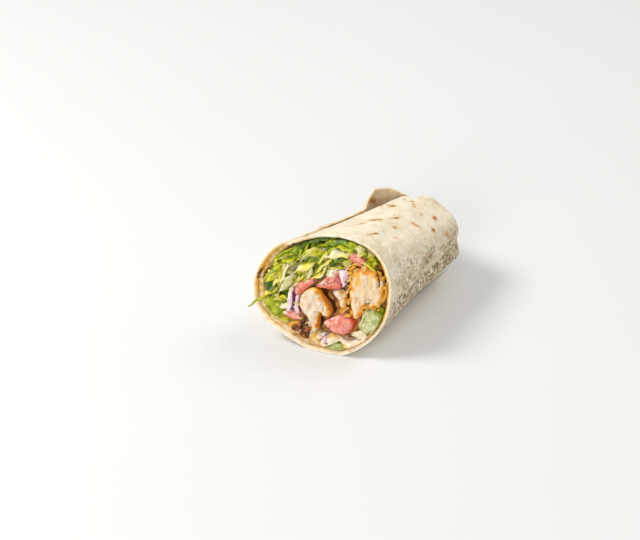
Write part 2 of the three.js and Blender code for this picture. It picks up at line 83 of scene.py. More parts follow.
def fuzz(points: np.ndarray, size: float, seed: int = 0, octaves: int = 3) -> np.ndarray:
    """Smooth random values from about -1 to 1.

    Args:
        points: rows of three coordinates, in mm.
        size: size of the largest lumps, in mm.
        seed: a number that picks another pattern.
        octaves: how many times finer lumps are added.

    Returns:
        One value for each row.
    """
    total = np.zeros(len(points))
    weight = 0.0
    for octave in range(octaves):
        place = points / size * 2.0**octave + 7.31 * octave
        cell = np.floor(place).astype(np.int64)
        part = place - cell
        part = part * part * (3.0 - 2.0 * part)
        value = np.zeros(len(points))
        # Each corner of a point's cell has a level that is scrambled from the corner's place.
        for corner in itertools.product((0, 1), repeat=3):
            near = cell + np.array(corner)
            code = near[:, 0] * 73856093 ^ near[:, 1] * 19349663 ^ near[:, 2] * 83492791
            code = (code + seed * 2654435761) & 0xFFFFFFFF
            code = ((code ^ (code >> 15)) * 2246822519) & 0xFFFFFFFF
            code = ((code ^ (code >> 13)) * 3266489917) & 0xFFFFFFFF
            level = ((code ^ (code >> 16)) & 0xFFFF) / 32767.5 - 1.0
            share = np.prod(np.where(np.array(corner) == 1, part, 1.0 - part), axis=1)
            value += level * share
        total += value * 0.5**octave
        weight += 0.5**octave
    return total / weight * 1.6


def distance_to(points: np.ndarray, line: np.ndarray, closed: bool) -> np.ndarray:
    """How far each of the points lies from a line of straight steps.

    Args:
        points: rows of two coordinates.
        line: rows of two coordinates, in order.
        closed: whether the last point joins the first.

    Returns:
        One distance for each row of points.
    """
    ends = np.roll(line, -1, axis=0) if closed else line[1:]
    starts = line if closed else line[:-1]
    best = np.full(len(points), 1e9)
    for a, b in zip(starts, ends):
        step = b - a
        share = np.clip(((points - a) @ step) / max(step @ step, 1e-9), 0.0, 1.0)
        gap = points - (a + share[:, None] * step)
        best = np.minimum(best, np.hypot(gap[:, 0], gap[:, 1]))
    return best


def inside(points: np.ndarray, line: np.ndarray) -> np.ndarray:
    """Whether each of the points lies inside a closed outline.

    Args:
        points: rows of two coordinates.
        line: rows of the outline's points, in order.

    Returns:
        True or False for each row of points.
    """
    held = np.zeros(len(points), bool)
    for (ax, az), (bx, bz) in zip(np.roll(line, 1, axis=0), line):
        cross = (az > points[:, 1]) != (bz > points[:, 1])
        reach = ax + (bx - ax) * (points[:, 1] - az) / (bz - az if bz != az else 1e-9)
        held ^= cross & (points[:, 0] < reach)
    return held


def smoothed(outline: Points, step: float, closed: bool = True) -> np.ndarray:
    """An outline drawn as a soft curve through its corners, with evenly spread points.

    Args:
        outline: its corners.
        step: how far apart the points are.
        closed: whether the last corner joins the first.

    Returns:
        Rows of the points.
    """
    bends = np.array(outline, float)
    count = len(bends)
    drawn = []
    for i in range(count if closed else count - 1):
        if closed:
            p0, p1, p2, p3 = (bends[(i + j) % count] for j in (-1, 0, 1, 2))
        else:
            p0, p1, p2, p3 = (bends[min(max(i + j, 0), count - 1)] for j in (-1, 0, 1, 2))
        for t in np.linspace(0.0, 1.0, 12, endpoint=False):
            drawn.append(
                0.5
                * (
                    2 * p1
                    + (p2 - p0) * t
                    + (2 * p0 - 5 * p1 + 4 * p2 - p3) * t * t
                    + (3 * p1 - p0 - 3 * p2 + p3) * t**3
                )
            )
    drawn.append(drawn[0] if closed else bends[-1])
    line = np.array(drawn)
    length = np.concatenate(([0.0], np.cumsum(np.hypot(*np.diff(line, axis=0).T))))
    places = np.linspace(0.0, length[-1], max(8, round(length[-1] / step)), endpoint=not closed)
    return np.column_stack([np.interp(places, length, line[:, i]) for i in (0, 1)])


# ---- The roll's form ----------------------------------------------------------------------


@dataclass(frozen=True)
class Roll:
    """The rolled bread's form: the sizes that the part has too.

    Lengths are in mm, angles in degrees from the right, and a place along the roll is a share of
    the way from the cut to the folded end. A wave is how often it goes round, its depth and its
    first crest.
    """

    length: float = 93.0
    radius: float = 34.8
    centre: float = 34.6
    taper: float = 0.74
    rest: float = 0.8
    sag: float = 2.2
    sag_height: float = 8.0
    cut_waves: tuple = ((1, 1.2, -12), (2, 2.45, -41), (3, 1.15, -162), (4, 0.4, 166))
    end_waves: tuple = ((2, 0.9, 86), (3, 1.85, 152), (7, 1.85, 262))
    crease: float = 0.55
    cut_lean: tuple[float, float] = (0.45, 0.4)
    end_lean: tuple[float, float] = (-0.04, -0.046)
    bread: float = 2.0
    gap: float = 0.35
    edge_angle: float = 142.0
    edge_fade: float = 70.0
    tail: float = 150.0
    tail_fade: float = 16.0
    flap_lift: float = 11.0
    flap_middle: float = 0.88
    flap_reach: float = 0.21
    flap_width: float = 62.0
    crumple_middle: float = 280.0
    crumple_reach: float = 62.0
    crumple_height: float = 7.6
    crumple_wave: float = 1.9
    clearance: float = 0.3

    def waves(self, waves: tuple, degrees: np.ndarray) -> np.ndarray:
        """The sum of some waves round the roll."""
        return sum(depth * np.cos(np.radians(times * degrees - crest)) for times, depth, crest in waves)

    def plain(self, degrees: np.ndarray, k: np.ndarray) -> np.ndarray:
        """The bread's outer radius, with no step at its edge.

        Args:
            degrees: angles round the roll, counted from the right.
            k: shares of the way from the cut to the folded end.

        Returns:
            One radius for each, in mm.
        """
        at_cut = self.waves(self.cut_waves, degrees)
        at_end = self.waves(self.end_waves, degrees)
        creases = self.crease * smooth(0.05, 1.0, k) * np.cos(np.radians(9 * degrees + 160 * k))
        return self.radius + mix(at_cut, at_end, smooth(0.0, 1.0, k)) + creases

    def dip(self, past: np.ndarray) -> np.ndarray:
        """How far the sheet has dipped below its own outer edge, past degrees after that edge."""
        return (self.bread + self.gap) * smooth(360.0 - self.edge_fade, 360.0, past)

    def flap(self, past: np.ndarray, k: np.ndarray) -> np.ndarray:
        """How far the loose outer edge stands up."""
        held = np.where(past > 180.0, 0.0, 1.0 - smooth(0.0, self.flap_width, past))
        return self.flap_lift * held * bump(self.flap_middle, self.flap_reach, k)

    def crumple(self, degrees: np.ndarray) -> np.ndarray:
        """How far the crumpled inner end of the sheet stands into the filling."""
        held = bump(self.crumple_middle, self.crumple_reach, np.mod(degrees, 360.0))
        return held * (self.crumple_height + self.crumple_wave * np.cos(np.radians(11 * degrees - 20)))

    def second_layer(self, past: np.ndarray) -> np.ndarray:
        """1 where the bread lies double, past degrees after its outer edge, and 0 elsewhere."""
        return 1.0 - smooth(self.tail - self.tail_fade, self.tail, np.mod(past, 360.0))

    def layers(self, degrees: np.ndarray) -> np.ndarray:
        """How deep the second layer's surface lies below the outer one.

        Args:
            degrees: angles round the roll.

        Returns:
            One depth for each, in mm.
        """
        past = np.mod(degrees - self.edge_angle, 360.0)
        double = (self.bread + self.gap) * self.second_layer(past)
        return np.where(past > 360.0 - self.edge_fade, self.dip(past), double)

    def cavity(self, degrees: np.ndarray, k: np.ndarray) -> np.ndarray:
        """The radius of the space inside the bread."""
        return self.plain(degrees, k) - self.bread - self.layers(degrees) - self.crumple(degrees)

    def place(
        self, x: np.ndarray, z: np.ndarray, k: np.ndarray, ahead: np.ndarray = 0.0
    ) -> np.ndarray:
        """A point of the section in space.

        Args:
            x: to the right, in mm.
            z: up from the ground, in mm.
            k: the share of the way from the cut to the folded end.
            ahead: how far the point is then moved out of the cut, in mm.

        Returns:
            Rows of x, y and z, in mm before SHIFT.
        """
        scale = mix(1.0, self.taper, k)
        cut = self.cut_lean[0] * x + self.cut_lean[1] * (z - self.centre)
        end = self.length + self.end_lean[0] * x + self.end_lean[1] * (z - self.centre)
        return np.column_stack(np.broadcast_arrays(x * scale, mix(cut, end, k) - ahead, z * scale))

    def on_ray(self, degrees: np.ndarray, radius: np.ndarray) -> tuple[np.ndarray, np.ndarray]:
        """The section's x and z of a point at an angle and a radius."""
        turn = np.radians(degrees)
        return radius * np.cos(turn), self.centre + radius * np.sin(turn)

    def settled(self, place: np.ndarray, under: np.ndarray) -> np.ndarray:
        """Presses what lies lowest flat onto the ground, or onto what lies under it.

        Args:
            place: rows of x, y and z, in mm.
            under: how much bread lies below each point, in mm.

        Returns:
            The pressed rows.
        """
        z = place[:, 2]
        pressed = z - self.sag * np.maximum(0.0, 1.0 - z / self.sag_height)
        return np.column_stack((place[:, 0], place[:, 1], np.maximum(self.rest + under, pressed)))

    def behind(
        self,
        x: np.ndarray,
        z: np.ndarray,
        depth: np.ndarray,
        back: float = 0.0,
        in_bread: bool = False,
    ) -> np.ndarray:
        """A point of the section at a depth behind the cut, kept inside the bread.

        Up to NEAR mm the depth is the real one. From there to FAR it runs on to the share back
        of the way along the roll, so that a bar needs few faces where nothing of it shows.

        Args:
            x: to the right, in mm.
            z: up from the ground, in mm.
            depth: mm behind the cut, below 0 in front of it.
            back: where along the roll FAR lies, or 0 for a piece that ends before NEAR.
            in_bread: whether the piece lies in the bread's crumpled end.

        Returns:
            Rows of x, y and z, in mm before SHIFT.
        """
        near = np.clip(depth, 0.0, NEAR) / self.length
        onward = np.clip((depth - NEAR) / (FAR - NEAR), 0.0, 1.0)
        k = mix(near, back, onward) if back else near
        degrees = np.degrees(np.arctan2(z - self.centre, x))
        room = self.cavity(degrees, k) + (self.crumple(degrees) if in_bread else 0.0) - self.clearance
        held = np.minimum(1.0, room / np.maximum(np.hypot(x, z - self.centre), 0.01))
        held = np.where(depth < -self.clearance, 1.0, held)
        ahead = np.maximum(0.0, -depth)
        return self.place(x * held, self.centre + (z - self.centre) * held, k, ahead)


ROLL = Roll()


# ---- Mesh helpers -------------------------------------------------------------------------


def only(piece: bpy.types.Object) -> None:
    """Makes a piece the only selected and the active one.

    Args:
        piece: the piece.
    """
    bpy.ops.object.select_all(action="DESELECT")
    piece.select_set(True)
    bpy.context.view_layer.objects.active = piece


def corners(piece: bpy.types.Object) -> np.ndarray:
    """A piece's vertices as rows of three coordinates.

    Args:
        piece: the piece.

    Returns:
        One row for each vertex.
    """
    flat = np.zeros(len(piece.data.vertices) * 3)
    piece.data.vertices.foreach_get("co", flat)
    return flat.reshape(-1, 3)


def move_corners(piece: bpy.types.Object, places: np.ndarray) -> None:
    """Puts a piece's vertices at new places."""
    piece.data.vertices.foreach_set("co", np.ascontiguousarray(places, float).ravel())
    piece.data.update()


def mark(piece: bpy.types.Object, name: str, values: np.ndarray) -> None:
    """Stores one number for each vertex, which the piece's material reads."""
    layer = piece.data.attributes.get(name) or piece.data.attributes.new(name, "FLOAT", "POINT")
    layer.data.foreach_set("value", np.ascontiguousarray(values, np.float32))


def modify(piece: bpy.types.Object, kind: str, **settings: object) -> None:
    """Adds a modifier of a kind with its settings, and applies it.

    Args:
        piece: the piece that it changes.
        kind: Blender's name of the kind.
        settings: the modifier's own settings.
    """
    only(piece)
    modifier = piece.modifiers.new(kind.title(), kind)
    for name, value in settings.items():
        setattr(modifier, name, value)
    bpy.ops.object.modifier_apply(modifier=modifier.name)


def edit(piece: bpy.types.Object, select: str = "SELECT") -> None:
    """Opens a piece in edit mode, with all of it or nothing selected.

    Args:
        piece: the piece.
        select: SELECT for all of it, DESELECT for nothing.
    """
    only(piece)
    bpy.ops.object.mode_set(mode="EDIT")
    bpy.ops.mesh.select_mode(type="VERT")
    bpy.ops.mesh.select_all(action=select)


def face_out(piece: bpy.types.Object) -> None:
    """Turns all faces outwards and shades them smooth.

    Args:
        piece: the piece, a closed shell.
    """
    edit(piece)
    bpy.ops.mesh.normals_make_consistent(inside=False)
    bpy.ops.object.mode_set(mode="OBJECT")
    bpy.ops.object.shade_smooth()


def dress(piece: bpy.types.Object, material: bpy.types.Material) -> None:
    """Gives a piece one material."""
    piece.data.materials.clear()
    piece.data.materials.append(material)


def joined(pieces: list[bpy.types.Object], name: str) -> bpy.types.Object:
    """Several pieces of one kind as one object.

    Args:
        pieces: the pieces; the first one takes in the others.
        name: the name of the whole.

    Returns:
        The whole.
    """
    only(pieces[0])
    for piece in pieces:
        piece.select_set(True)
    bpy.ops.object.join()
    pieces[0].name = pieces[0].data.name = name
    return pieces[0]


def prism(
    name: str, line: np.ndarray, front: float, back: float, bevel: float = 0.0
) -> bpy.types.Object:
    """A closed bar with an outline, drawn flat: x and y are the section's, z the depth.

    Args:
        name: the bar's name.
        line: rows of the outline's points, in mm.
        front: depth of its front face, below 0 where it stands out of the cut.
        back: depth of its back face.
        bevel: how far the front face's edge is rounded.

    Returns:
        The bar.
    """
    bpy.ops.object.select_all(action="DESELECT")
    bpy.ops.mesh.primitive_circle_add(vertices=len(line), radius=1.0, fill_type="NGON")
    bar = bpy.context.object
    bar.name = bar.data.name = name
    move_corners(bar, np.column_stack((line, np.full(len(line), front))))
    edit(bar)
    bpy.ops.mesh.extrude_region_move(TRANSFORM_OT_translate={"value": (0.0, 0.0, back - front)})
    bpy.ops.mesh.select_all(action="SELECT")
    bpy.ops.mesh.normals_make_consistent(inside=False)
    bpy.ops.mesh.select_all(action="DESELECT")
    bpy.ops.object.mode_set(mode="OBJECT")
    if bevel:
        for vertex in bar.data.vertices:
            vertex.select = abs(vertex.co.z - front) < 1e-4
        bpy.ops.object.mode_set(mode="EDIT")
        bpy.ops.mesh.bevel(offset=bevel, segments=2, affect="EDGES")
        bpy.ops.object.mode_set(mode="OBJECT")
    return bar


# ---- Finishes -----------------------------------------------------------------------------


def shade(code: str) -> tuple[float, float, float, float]:
    """A colour from its six hexadecimal digits."""
    parts = (int(code[i : i + 2], 16) / 255.0 for i in (0, 2, 4))
    return (*(c / 12.92 if c <= 0.04045 else ((c + 0.055) / 1.055) ** 2.4 for c in parts), 1.0)


def grey(level: float) -> tuple[float, float, float, float]:
    """The same number in every channel."""
    return (level, level, level, 1.0)


def evenly(codes: tuple[str, ...]) -> tuple[tuple[float, str], ...]:
    """Colours spread evenly along a ramp."""
    return tuple((index / (len(codes) - 1), code) for index, code in enumerate(codes))


def ripple_group() -> bpy.types.NodeTree:
    """A shared effect: lumps of two sizes, for the relief of soft food.

    Returns:
        The node group.
    """
    tree = bpy.data.node_groups.new("food_relief", "ShaderNodeTree")
    sockets = tree.interface
    sockets.new_socket("Place", in_out="INPUT", socket_type="NodeSocketVector")
    for name, level in (("Coarse", 0.4), ("Fine", 1.6), ("Share", 0.35)):
        sockets.new_socket(name, in_out="INPUT", socket_type="NodeSocketFloat").default_value = level
    sockets.new_socket("Height", in_out="OUTPUT", socket_type="NodeSocketFloat")
    start = tree.nodes.new("NodeGroupInput")
    end = tree.nodes.new("NodeGroupOutput")
    lumps = []
    for name in ("Coarse", "Fine"):
        node = tree.nodes.new("ShaderNodeTexNoise")
        node.inputs["Detail"].default_value = 3.0
        tree.links.new(start.outputs["Place"], node.inputs["Vector"])
        tree.links.new(start.outputs[name], node.inputs["Scale"])
        lumps.append(node.outputs["Fac"])
    blend = tree.nodes.new("ShaderNodeMix")
    tree.links.new(start.outputs["Share"], blend.inputs["Factor"])
    tree.links.new(lumps[0], blend.inputs["A"])
    tree.links.new(lumps[1], blend.inputs["B"])
    tree.links.new(blend.outputs["Result"], end.inputs["Height"])
    return tree


RELIEF = ripple_group()
Socket = bpy.types.NodeSocket


class Paint:
    """A material's nodes, with a short method for each kind that the finishes use."""

    def __init__(self, name: str) -> None:
        """Starts a material with its shader and its place in mm.

        Args:
            name: the material's name.
        """
        self.material = bpy.data.materials.new(name)
        self.material.use_nodes = True
        self.tree = self.material.node_tree
        self.tree.nodes.clear()
        self.shader = self.tree.nodes.new("ShaderNodeBsdfPrincipled")
        output = self.tree.nodes.new("ShaderNodeOutputMaterial")
        self.tree.links.new(self.shader.outputs["BSDF"], output.inputs["Surface"])
        coordinates = self.tree.nodes.new("ShaderNodeTexCoord")
        mapping = self.tree.nodes.new("ShaderNodeMapping")
        mapping.inputs["Scale"].default_value = (1.0 / MM, 1.0 / MM, 1.0 / MM)
        self.tree.links.new(coordinates.outputs["Object"], mapping.inputs["Vector"])
        self.place = mapping.outputs["Vector"]

    def give(self, socket: Socket, value: object) -> None:
        """Links a socket to another one, or sets its number or colour.

        Args:
            socket: the socket.
            value: what it takes, another socket, a number or a colour.
        """
        if isinstance(value, Socket):
            self.tree.links.new(value, socket)
        else:
            socket.default_value = value

    def stretched(self, turn: float, scale: tuple[float, float, float]) -> Socket:
        """The place in mm, turned about the roll's length and scaled, for grain.

        Args:
            turn: how far it is turned, in degrees.
            scale: how much it is scaled along each axis.

        Returns:
            The socket with the new place.
        """
        node = self.tree.nodes.new("ShaderNodeMapping")
        node.inputs["Rotation"].default_value = (0.0, math.radians(turn), 0.0)
        node.inputs["Scale"].default_value = scale
        self.give(node.inputs["Vector"], self.place)
        return node.outputs["Vector"]

    def noise(
        self, scale: float, detail: float = 3.0, place: Socket | None = None, twist: float = 0.0
    ) -> Socket:
        """Cloudy values from 0 to 1.

        Args:
            scale: lumps per mm.
            detail: how many finer sizes of lump are added.
            place: where it is read, the plain place if none is given.
            twist: how far the lumps are distorted.

        Returns:
            The socket with the values.
        """
        node = self.tree.nodes.new("ShaderNodeTexNoise")
        node.inputs["Scale"].default_value = scale
        node.inputs["Detail"].default_value = detail
        node.inputs["Distortion"].default_value = twist
        self.give(node.inputs["Vector"], place or self.place)
        return node.outputs["Fac"]

    def cells(self, scale: float) -> Socket:
        """Distance to the nearest of some scattered points.

        Args:
            scale: points per mm.

        Returns:
            The socket with the distance.
        """
        node = self.tree.nodes.new("ShaderNodeTexVoronoi")
        node.inputs["Scale"].default_value = scale
        self.give(node.inputs["Vector"], self.place)
        return node.outputs["Distance"]

    def stored(self, name: str) -> Socket:
        """A number that is stored with the mesh.

        Args:
            name: the name that mark() stored it under.

        Returns:
            The socket with the number.
        """
        node = self.tree.nodes.new("ShaderNodeAttribute")
        node.attribute_name = name
        return node.outputs["Fac"]

    def sum(self, kind: str, a: object, b: object = 0.0) -> Socket:
        """One sum of two values, kept from 0 to 1.

        Args:
            kind: Blender's name of the sum.
            a: the first value.
            b: the second value.

        Returns:
            The socket with the result.
        """
        node = self.tree.nodes.new("ShaderNodeMath")
        node.operation = kind
        node.use_clamp = True
        self.give(node.inputs[0], a)
        self.give(node.inputs[1], b)
        return node.outputs["Value"]

    def times(self, a: object, b: object) -> Socket:
        """Two values multiplied, kept from 0 to 1."""
        return self.sum("MULTIPLY", a, b)

    def plus(self, a: object, b: object) -> Socket:
        """Two values added, kept from 0 to 1."""
        return self.sum("ADD", a, b)

    def step(self, value: object, low: float, high: float) -> Socket:
        """A soft step of a value from 0 at low to 1 at high.

        Args:
            value: the value.
            low: where the step starts.
            high: where it ends.

        Returns:
            The socket with the step.
        """
        node = self.tree.nodes.new("ShaderNodeMapRange")
        node.interpolation_type = "SMOOTHSTEP"
        node.inputs["From Min"].default_value = low
        node.inputs["From Max"].default_value = high
        self.give(node.inputs["Value"], value)
        return node.outputs["Result"]

    def blend(self, share: object, a: object, b: object) -> Socket:
        """A colour that lies share of the way from a to b.

        Args:
            share: from 0 to 1.
            a: a colour's six digits, its four numbers or a socket.
            b: the other colour, given in the same way.

        Returns:
            The socket with the colour.
        """
        node = self.tree.nodes.new("ShaderNodeMix")
        node.data_type = "RGBA"
        self.give(node.inputs["Factor"], share)
        for name, value in (("A", a), ("B", b)):
            socket = next(s for s in node.inputs if s.name == name and s.type == "RGBA")
            self.give(socket, shade(value) if isinstance(value, str) else value)
        return next(s for s in node.outputs if s.type == "RGBA")

    def ramp(self, value: Socket, stops: tuple[tuple[float, str], ...]) -> Socket:
        """Colours laid out along a value.

        Args:
            value: the value, from 0 to 1.
            stops: places along it, each with its colour's six digits.

        Returns:
            The socket with the colour.
        """
        node = self.tree.nodes.new("ShaderNodeValToRGB")
        elements = node.color_ramp.elements
        while len(elements) > 1:
            elements.remove(elements[-1])
        for index, (at, code) in enumerate(stops):
            element = elements[0] if index == 0 else elements.new(at)
            element.position = at
            element.color = shade(code)
        self.give(node.inputs["Fac"], value)
        return node.outputs["Color"]

    def relief(
        self, depth: float, coarse: float, fine: float, share: float, height: Socket | None = None
    ) -> None:
        """Lumps of two sizes on the surface, after any given height.

        Args:
            depth: how deep they are, in mm.
            coarse: large lumps per mm.
            fine: small lumps per mm.
            share: the small lumps' share, from 0 to 1.
            height: another height that the surface has too.
        """
        group = self.tree.nodes.new("ShaderNodeGroup")
        group.node_tree = RELIEF
        self.give(group.inputs["Place"], self.place)
        for name, value in (("Coarse", coarse), ("Fine", fine), ("Share", share)):
            group.inputs[name].default_value = value
        node = self.tree.nodes.new("ShaderNodeBump")
        node.inputs["Strength"].default_value = 1.0
        node.inputs["Distance"].default_value = depth * MM
        self.give(node.inputs["Height"], group.outputs["Height"])
        if height:
            first = self.tree.nodes.new("ShaderNodeBump")
            first.inputs["Distance"].default_value = depth * MM
            self.give(first.inputs["Height"], height)
            self.give(node.inputs["Normal"], first.outputs["Normal"])
        self.give(self.shader.inputs["Normal"], node.outputs["Normal"])

    def finish(
        self,
        colour: Socket,
        rough: object,
        soft: float,
        reach: tuple[float, float, float],
        gloss: float = 0.5,
    ) -> bpy.types.Material:
        """Sets the shader and gives back the material.

        Args:
            colour: its base colour.
            rough: its roughness, a number or a socket.
            soft: how much light goes through it, from 0 to 1.
            reach: how far red, green and blue light goes in it, in mm.
            gloss: strength of its highlights.

        Returns:
            The material.
        """
        inputs = self.shader.inputs
        self.give(inputs["Base Color"], colour)
        self.give(inputs["Roughness"], rough)
        inputs["Subsurface Weight"].default_value = soft
        inputs["Subsurface Radius"].default_value = reach
        inputs["Subsurface Scale"].default_value = MM
        inputs["Specular IOR Level"].default_value = gloss
        return self.material


@dataclass(frozen=True)
class BreadFinish:
    """Floured flatbread: cream, toasted in spots, speckled with char and greyed by painted shade on its right
    and lower side, soaked where it is inside.
    """

    cream: str = "faecd2"
    beige: str = "ecdab8"
    flour: str = "fff6e2"
    # painted shade: the grey-brown cloud that greys the roll's right and lower side where the charred mark is
    # high
    cloud: str = "b8a07a"
    speck: str = "8a7454"
    pit: str = "5c4a33"
    toast: str = "d79b57"
    burnt: str = "753c18"
    inner: str = "f6dfae"
    soaked: str = "e4b765"
    saucy: str = "cf963c"
    crumb: str = "fff3da"
    crumb_soaked: str = "e9b650"
    crumb_stain: str = "e2a656"
    scorch: str = "6a3818"
    dry_rough: float = 0.82
    wet_rough: float = 0.45

    def build(self) -> bpy.types.Material:
        """The material of the sheet, its crumpled tail and its tuck.

        Returns:
            The material.
        """
        p = Paint("flatbread")
        sauce = p.stored("sauce")
        depth = p.stored("depth")
        soaked = p.times(sauce, p.step(depth, 0.15, 0.75))
        wall = p.blend(p.step(p.noise(0.22, 4.0), 0.4, 0.62), self.inner, self.soaked)
        smears = p.times(sauce, p.step(p.noise(0.35, 4.0), 0.45, 0.6))
        wall = p.blend(smears, wall, self.saucy)
        colour = p.blend(p.step(depth, 0.5, 0.9), self.skin(p), wall)
        crumb = p.blend(soaked, self.crumb, self.crumb_soaked)
        stain = p.times(p.step(p.noise(0.55, 5.0), 0.48, 0.66), 0.42)
        colour = p.blend(p.stored("edge"), colour, p.blend(stain, crumb, self.crumb_stain))
        scorched = p.times(p.stored("scorch"), p.noise(0.5, 5.0))
        colour = p.blend(p.step(scorched, 0.2, 0.5), colour, self.scorch)
        rough = p.blend(soaked, grey(self.dry_rough), grey(self.wet_rough))
        p.relief(0.35, 0.45, 2.2, 0.4)
        return p.finish(colour, rough, 0.15, (2.0, 1.3, 0.7), 0.3)

    def skin(self, p: Paint) -> Socket:
        """The outer skin: cream and floury, speckled with char, greyed by painted shade on the roll's right
        and lower side, and toasted in spots.

        Args:
            p: the material's nodes.

        Returns:
            The socket with its colour.
        """
        skin = p.blend(p.step(p.noise(0.13), 0.35, 0.65), self.cream, self.beige)
        skin = p.blend(p.step(p.noise(0.7, 4.0), 0.52, 0.72), skin, self.flour)
        # The charred mark is real char specks and painted shade; where it is high the skin is greyed and
        # speckled more.
        charred = p.stored("charred")
        cloud = p.times(charred, p.step(p.noise(0.15, 5.0), 0.42, 0.64))
        skin = p.blend(p.times(cloud, 0.6), skin, self.cloud)
        where = p.times(p.sum("SUBTRACT", charred, 0.4), 0.12)
        mottled = p.plus(p.noise(0.5, 6.0), where)
        fine = p.times(p.plus(charred, 0.05), p.step(mottled, 0.44, 0.72))
        skin = p.blend(fine, skin, self.speck)
        pits = p.times(charred, p.step(p.noise(1.1, 3.0), 0.58, 0.7))
        skin = p.blend(p.times(pits, 0.6), skin, self.pit)
        toast = p.stored("toast")
        dark = p.plus(toast, p.times(toast, p.noise(0.8, 4.0)))
        skin = p.blend(p.times(p.step(dark, 0.08, 0.6), 0.85), skin, self.toast)
        return p.blend(p.step(dark, 0.7, 1.15), skin, self.burnt)


@dataclass(frozen=True)
class ChickenFinish:
    """Cooked chicken: pale fibrous meat, spiced gold to orange and browned to black at its edges, with the
    same black as painted shade on its sides in the gaps and in its cracks.
    """

    name: str = "chicken"
    pale: str = "f1dcc2"
    shadow: str = "deb688"
    grain: float = 20.0
    base_heat: float = 0.0
    milky: str = "fff3e0"
    browning: tuple[str, ...] = ("f8dfb2", "f7c76c", "f5aa2c", "e08a18", "b05c10", "5c2a0c")
    burnt: str = "43200d"
    dry_rough: float = 0.5
    juicy_rough: float = 0.28

    def build(self) -> bpy.types.Material:
        """The material of one kind of chicken piece.

        Returns:
            The material.
        """
        p = Paint(self.name)
        grain = p.noise(0.55, 5.0, p.stretched(self.grain, (1.0, 0.7, 0.22)), 0.4)
        meat = p.blend(p.step(grain, 0.4, 0.75), self.pale, self.shadow)
        meat = p.blend(p.step(p.noise(0.8, 4.0), 0.52, 0.75), meat, self.milky)
        sear = p.stored("sear")
        uneven = p.plus(0.3, p.times(p.noise(0.5, 5.0), 0.7))
        heat = p.times(sear, uneven)
        heat = p.plus(heat, p.times(p.noise(0.4, 5.0), self.base_heat))
        seared = p.ramp(heat, evenly(self.browning))
        meat = p.blend(p.step(heat, 0.02, 0.3), meat, seared)
        # The char mark's near-black is real char, and painted shade on the sides down in the gaps and along
        # the cracks.
        burnt = p.times(p.stored("char"), p.plus(0.3, p.noise(0.7, 5.0)))
        meat = p.blend(p.step(burnt, 0.15, 0.75), meat, self.burnt)
        p.relief(0.6, 0.7, 2.4, 0.35, grain)
        rough = p.blend(sear, grey(self.dry_rough), grey(self.juicy_rough))
        return p.finish(meat, rough, 0.3, (3.0, 1.8, 1.0), 0.5)


@dataclass(frozen=True)
class TomatoFinish:
    """Cut tomato: salmon to red flesh, streaked with white sauce, with a redder skin."""

    flesh: str = "ea866c"
    deep: str = "d2523e"
    skin: str = "dd5226"
    juicy: str = "f0a28c"
    cream: str = "f6c6b4"

    def build(self) -> bpy.types.Material:
        """The material of the tomato pieces.

        Returns:
            The material.
        """
        p = Paint("tomato")
        fibres = p.noise(0.5, 4.0, p.stretched(-30.0, (1.3, 0.6, 0.35)), twist=0.5)
        flesh = p.blend(p.step(fibres, 0.42, 0.64), self.flesh, self.deep)
        flesh = p.blend(p.step(p.cells(0.6), 0.45, 0.8), flesh, self.juicy)
        flesh = p.blend(p.stored("skin"), flesh, self.skin)
        cream = p.plus(p.stored("sauce"), 0.35)
        cream = p.times(cream, p.step(p.noise(0.6, 5.0, twist=0.8), 0.46, 0.6))
        colour = p.blend(cream, flesh, self.cream)
        p.relief(0.4, 0.6, 1.9, 0.4, fibres)
        return p.finish(colour, 0.16, 0.4, (3.0, 0.8, 0.6), 0.6)


@dataclass(frozen=True)
class OnionFinish:
    """Red onion: white to lilac flesh with purple lines along its layers."""

    flesh: str = "f4e8e6"
    lilac: str = "dfb0c0"
    line: str = "80365c"
    cream: str = "fbf1e4"

    def build(self) -> bpy.types.Material:
        """The material of the onion pieces.

        Returns:
            The material.
        """
        p = Paint("onion")
        layers = p.noise(0.45, 3.0, p.stretched(8.0, (1.6, 0.3, 0.25)))
        flesh = p.blend(p.step(layers, 0.4, 0.62), self.flesh, self.lilac)
        flesh = p.blend(p.step(p.stored("skin"), 0.25, 0.75), flesh, self.line)
        cream = p.times(p.stored("sauce"), p.step(p.noise(0.5, 4.0), 0.42, 0.6))
        p.relief(0.3, 0.5, 1.8, 0.3, layers)
        return p.finish(p.blend(cream, flesh, self.cream), 0.25, 0.35, (2.0, 1.4, 1.6), 0.6)


@dataclass(frozen=True)
class CucumberFinish:
    """Cucumber: pale green watery flesh with a green skin and a darker seed slit, painted as shade down its
    crack.
    """

    flesh: str = "d2ce9c"
    deep: str = "acb05c"
    watery: str = "e8e4be"
    skin: str = "93a022"
    rind: str = "4a5f10"
    slit_shade: str = "5c6a24"

    def build(self) -> bpy.types.Material:
        """The material of the cucumber pieces.

        Returns:
            The material.
        """
        p = Paint("cucumber")
        flesh = p.blend(p.step(p.noise(0.3, 4.0), 0.38, 0.65), self.flesh, self.deep)
        cells = p.times(p.step(p.cells(0.8), 0.5, 0.9), 0.6)
        flesh = p.blend(cells, flesh, self.watery)
        skin = p.stored("skin")
        flesh = p.blend(p.step(skin, 0.15, 0.6), flesh, self.skin)
        flesh = p.blend(p.step(skin, 0.75, 1.05), flesh, self.rind)
        # The slit colour follows the char mark, which on a cucumber lies only along its cracks: painted shade
        # in the crack.
        flesh = p.blend(p.step(p.stored("char"), 0.3, 0.9), flesh, self.slit_shade)
        p.relief(0.35, 0.5, 1.8, 0.35)
        return p.finish(flesh, 0.22, 0.4, (1.8, 2.4, 0.8), 0.6)


